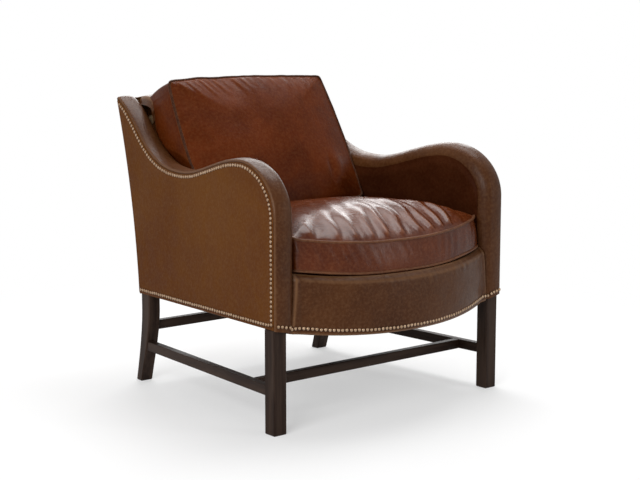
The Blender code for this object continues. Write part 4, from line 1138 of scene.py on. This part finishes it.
BACK_FOLDS = (
    # place along the top seam, width, height, length, slant
    (-0.236, 0.01, 0.003, 0.045, 0.55), (-0.212, 0.008, 0.0036, 0.06, 0.6),
    (-0.19, 0.007, 0.003, 0.05, 0.6), (-0.17, 0.008, 0.004, 0.065, 0.62),
    (-0.146, 0.007, 0.0034, 0.055, 0.58), (-0.122, 0.009, 0.0038, 0.06, 0.55),
    (-0.094, 0.007, 0.0028, 0.045, 0.5), (-0.058, 0.01, 0.0034, 0.06, 0.5),
    (-0.032, 0.008, 0.0038, 0.055, 0.46), (-0.006, 0.007, 0.0026, 0.04, 0.4),
    (0.03, 0.01, 0.0024, 0.05, 0.34), (0.068, 0.009, 0.0028, 0.05, 0.3),
    (0.11, 0.009, 0.003, 0.055, 0.2), (0.146, 0.008, 0.0028, 0.045, 0.1),
    (0.18, 0.009, 0.003, 0.05, 0.0), (0.214, 0.01, 0.003, 0.045, -0.2),
)


def back_crown(a, b):
    """Crown of the back cushion, its puckers under the top seam and the dent where people lean."""
    far = np.maximum(np.abs(a), np.abs(b))
    part = (b + 1) / 2
    x, t = a * blend(CUSHION_HALF_FOOT, CUSHION_HALF_TOP, part), CUSHION_HEIGHT * part
    down = CUSHION_HEIGHT - t
    w = 0.86 * CUSHION_CROWN * (1 - far ** 2.8) ** 0.8
    fold = np.zeros_like(x)
    for centre, width, tall, run, slant in BACK_FOLDS:
        off = x - (centre + slant * down)
        wide = width * (0.7 + 0.6 * down / run)
        ridge = np.exp(-(off / wide) ** 2) - 0.5 * np.exp(-((off + 1.2 * wide) / (0.6 * wide)) ** 2)
        fold += tall * ridge * smooth(down / 0.008) * (1 - smooth((down - 0.4 * run) / (0.9 * run)))
    fold -= 0.006 * np.exp(-((x - 0.165) / 0.01) ** 2 - ((t - 0.08) / 0.035) ** 2)
    fold += 0.005 * np.exp(-((x - 0.195) / 0.022) ** 2 - ((t - 0.085) / 0.05) ** 2)
    fold += 0.003 * noise(np.stack([x, t, x * 0], -1), 0.09, 83)
    return off_back(w + fold * smooth((1 - far) / 0.05))


def back_swell(a, b, level):
    """Swell of the boxing, and the slight crown of the rear."""
    zero = np.zeros_like(a)
    if level < 0:
        return off_back(zero - 0.004 * smooth(-level / 0.4))
    bow = math.sin(math.pi * level)
    top, sides = back_edges(a, b)
    lift = up_back(top * 0.004 * bow)
    lift[:, 0] = np.sign(a) * sides * 0.0085 * bow
    return lift


def back_gathers(a, b, level):
    """Shallow gathers across the back cushion's boxing."""
    top, sides = back_edges(a, b)
    pleat = 0.0022 * noise_line(np.where(top > 0.5, a * 0.26, b * 0.19) + level * 0.006, 0.016, 85)
    pleat = pleat * math.sin(math.pi * level)
    lift = up_back(top * pleat)
    lift[:, 0] = np.sign(a) * sides * pleat
    return lift


def back_clear(points):
    """Keep the back cushion off the inside back and the arms."""
    y = points[:, 1] + ORIGIN_Y
    limit = BACK_FACE_Y + BACK_FACE_SLOPE * (points[:, 2] - BACK_FACE_Z) - 0.0015
    limit += 0.06 * smooth((points[:, 2] - 0.735) / 0.025)
    points[:, 1] = np.minimum(points[:, 1], limit - ORIGIN_Y)
    half = inner_half(y, 0.006) + 0.03 * smooth((points[:, 2] - 0.585) / 0.1)
    points[:, 0] = np.clip(points[:, 0], -half, half)
    return points


def cushion_welts(name, high, low, replaced, look):
    for loop, word, node in ((high, "front", replaced[0]), (low, "rear", replaced[1])):
        wave = 1 + 0.1 * noise(loop, 0.03, 91)
        add_cord("%s_%s_piping" % (name, word), loop, WELT_RADIUS * wave, look, (node,))


def add_cushions():
    high, low = make_cushion(
        "seat_cushion_leather", seat_face, seat_crown, seat_swell, seat_gathers, (1.045, 1.012, 1.0), SEAT,
        ("seat_cushion",), 106, 0.022, seat_clear)
    cushion_welts("seat", high, low, ("seat_cushion_top_welt", "seat_cushion_bottom_welt"), SEAT_WELT)
    high, low = make_cushion(
        "back_cushion_leather", back_face, back_crown, back_swell, back_gathers, (1.02, 1.015, 1.015), BACK,
        ("back_cushion",), 96, 0.018, back_clear)
    cushion_welts("back", high, low, ("back_cushion_front_welt", "back_cushion_rear_welt"), WELT)


# Stage

def background_rays(tree):
    """1 for the rays that show the background: seen directly, reflected or through glass."""
    path = tree.nodes.new("ShaderNodeLightPath")
    result = path.outputs["Is Camera Ray"]
    for name in ("Is Glossy Ray", "Is Transmission Ray"):
        either = tree.nodes.new("ShaderNodeMath")
        either.operation = "MAXIMUM"
        tree.links.new(result, either.inputs[0])
        tree.links.new(path.outputs[name], either.inputs[1])
        result = either.outputs[0]
    return result


def add_stage():
    """Pale floor, soft lamps and an even sky."""
    data = bpy.data.meshes.new("floor")
    size = FLOOR_HALF
    corners = [(-size, -size, 0), (size, -size, 0), (size, size, 0), (-size, size, 0)]
    data.from_pydata(corners, [], [(0, 1, 2, 3)])
    floor = bpy.data.objects.new("floor", data)
    bpy.context.scene.collection.objects.link(floor)
    s = Shader("pale_floor")
    s.look(Base_Color=(FLOOR_GREY, FLOOR_GREY, FLOOR_GREY, 1), Roughness=0.9, Specular_IOR_Level=0.0)
    length = s.add("VectorMath", links=((0, s.place),))
    length.operation = "LENGTH"
    share = s.math("MULTIPLY", background_rays(s.tree), s.spread(length.outputs["Value"], *FLOOR_FADE))
    glow = s.add("Emission", (("Strength", 1.0),))
    mixed = s.add("MixShader", links=(("Fac", share), (1, s.main.outputs[0]), (2, glow.outputs[0])))
    s.link(mixed.outputs[0], s.tree.nodes["Material Output"].inputs["Surface"])
    data.materials.append(s.material)
    for i, (place, target, spread, power) in enumerate(LAMPS):
        light = bpy.data.lights.new("lamp_%d" % i, "AREA")
        light.shape = "RECTANGLE"
        light.size, light.size_y = spread
        light.energy = power
        lamp = bpy.data.objects.new("lamp_%d" % i, light)
        bpy.context.scene.collection.objects.link(lamp)
        lamp.location = place
        aim = np.array(target, float) - np.array(place, float)
        tip, turn = math.acos(-aim[2] / np.linalg.norm(aim)), math.atan2(aim[1], aim[0]) - math.pi / 2
        lamp.rotation_euler = (tip, 0.0, turn)
    world = bpy.data.worlds.new("sky")
    world.use_nodes = True
    bpy.context.scene.world = world
    tree = world.node_tree
    sky = tree.nodes["Background"]
    sky.inputs["Color"].default_value = (1, 1, 1, 1)
    level = tree.nodes.new("ShaderNodeMix")
    level.data_type = "FLOAT"
    level.inputs["A"].default_value = SKY_FILL
    level.inputs["B"].default_value = 1.0
    tree.links.new(background_rays(tree), level.inputs["Factor"])
    tree.links.new(level.outputs["Result"], sky.inputs["Strength"])


for side in (-1, 1):
    arm_roll(side)
    outside_panel(side)
    inside_arm(side)
border_leather()
inside_back()
outside_back()
add_nails()
add_cushions()
add_stage()
bpy.context.scene.view_settings.view_transform = "Standard"
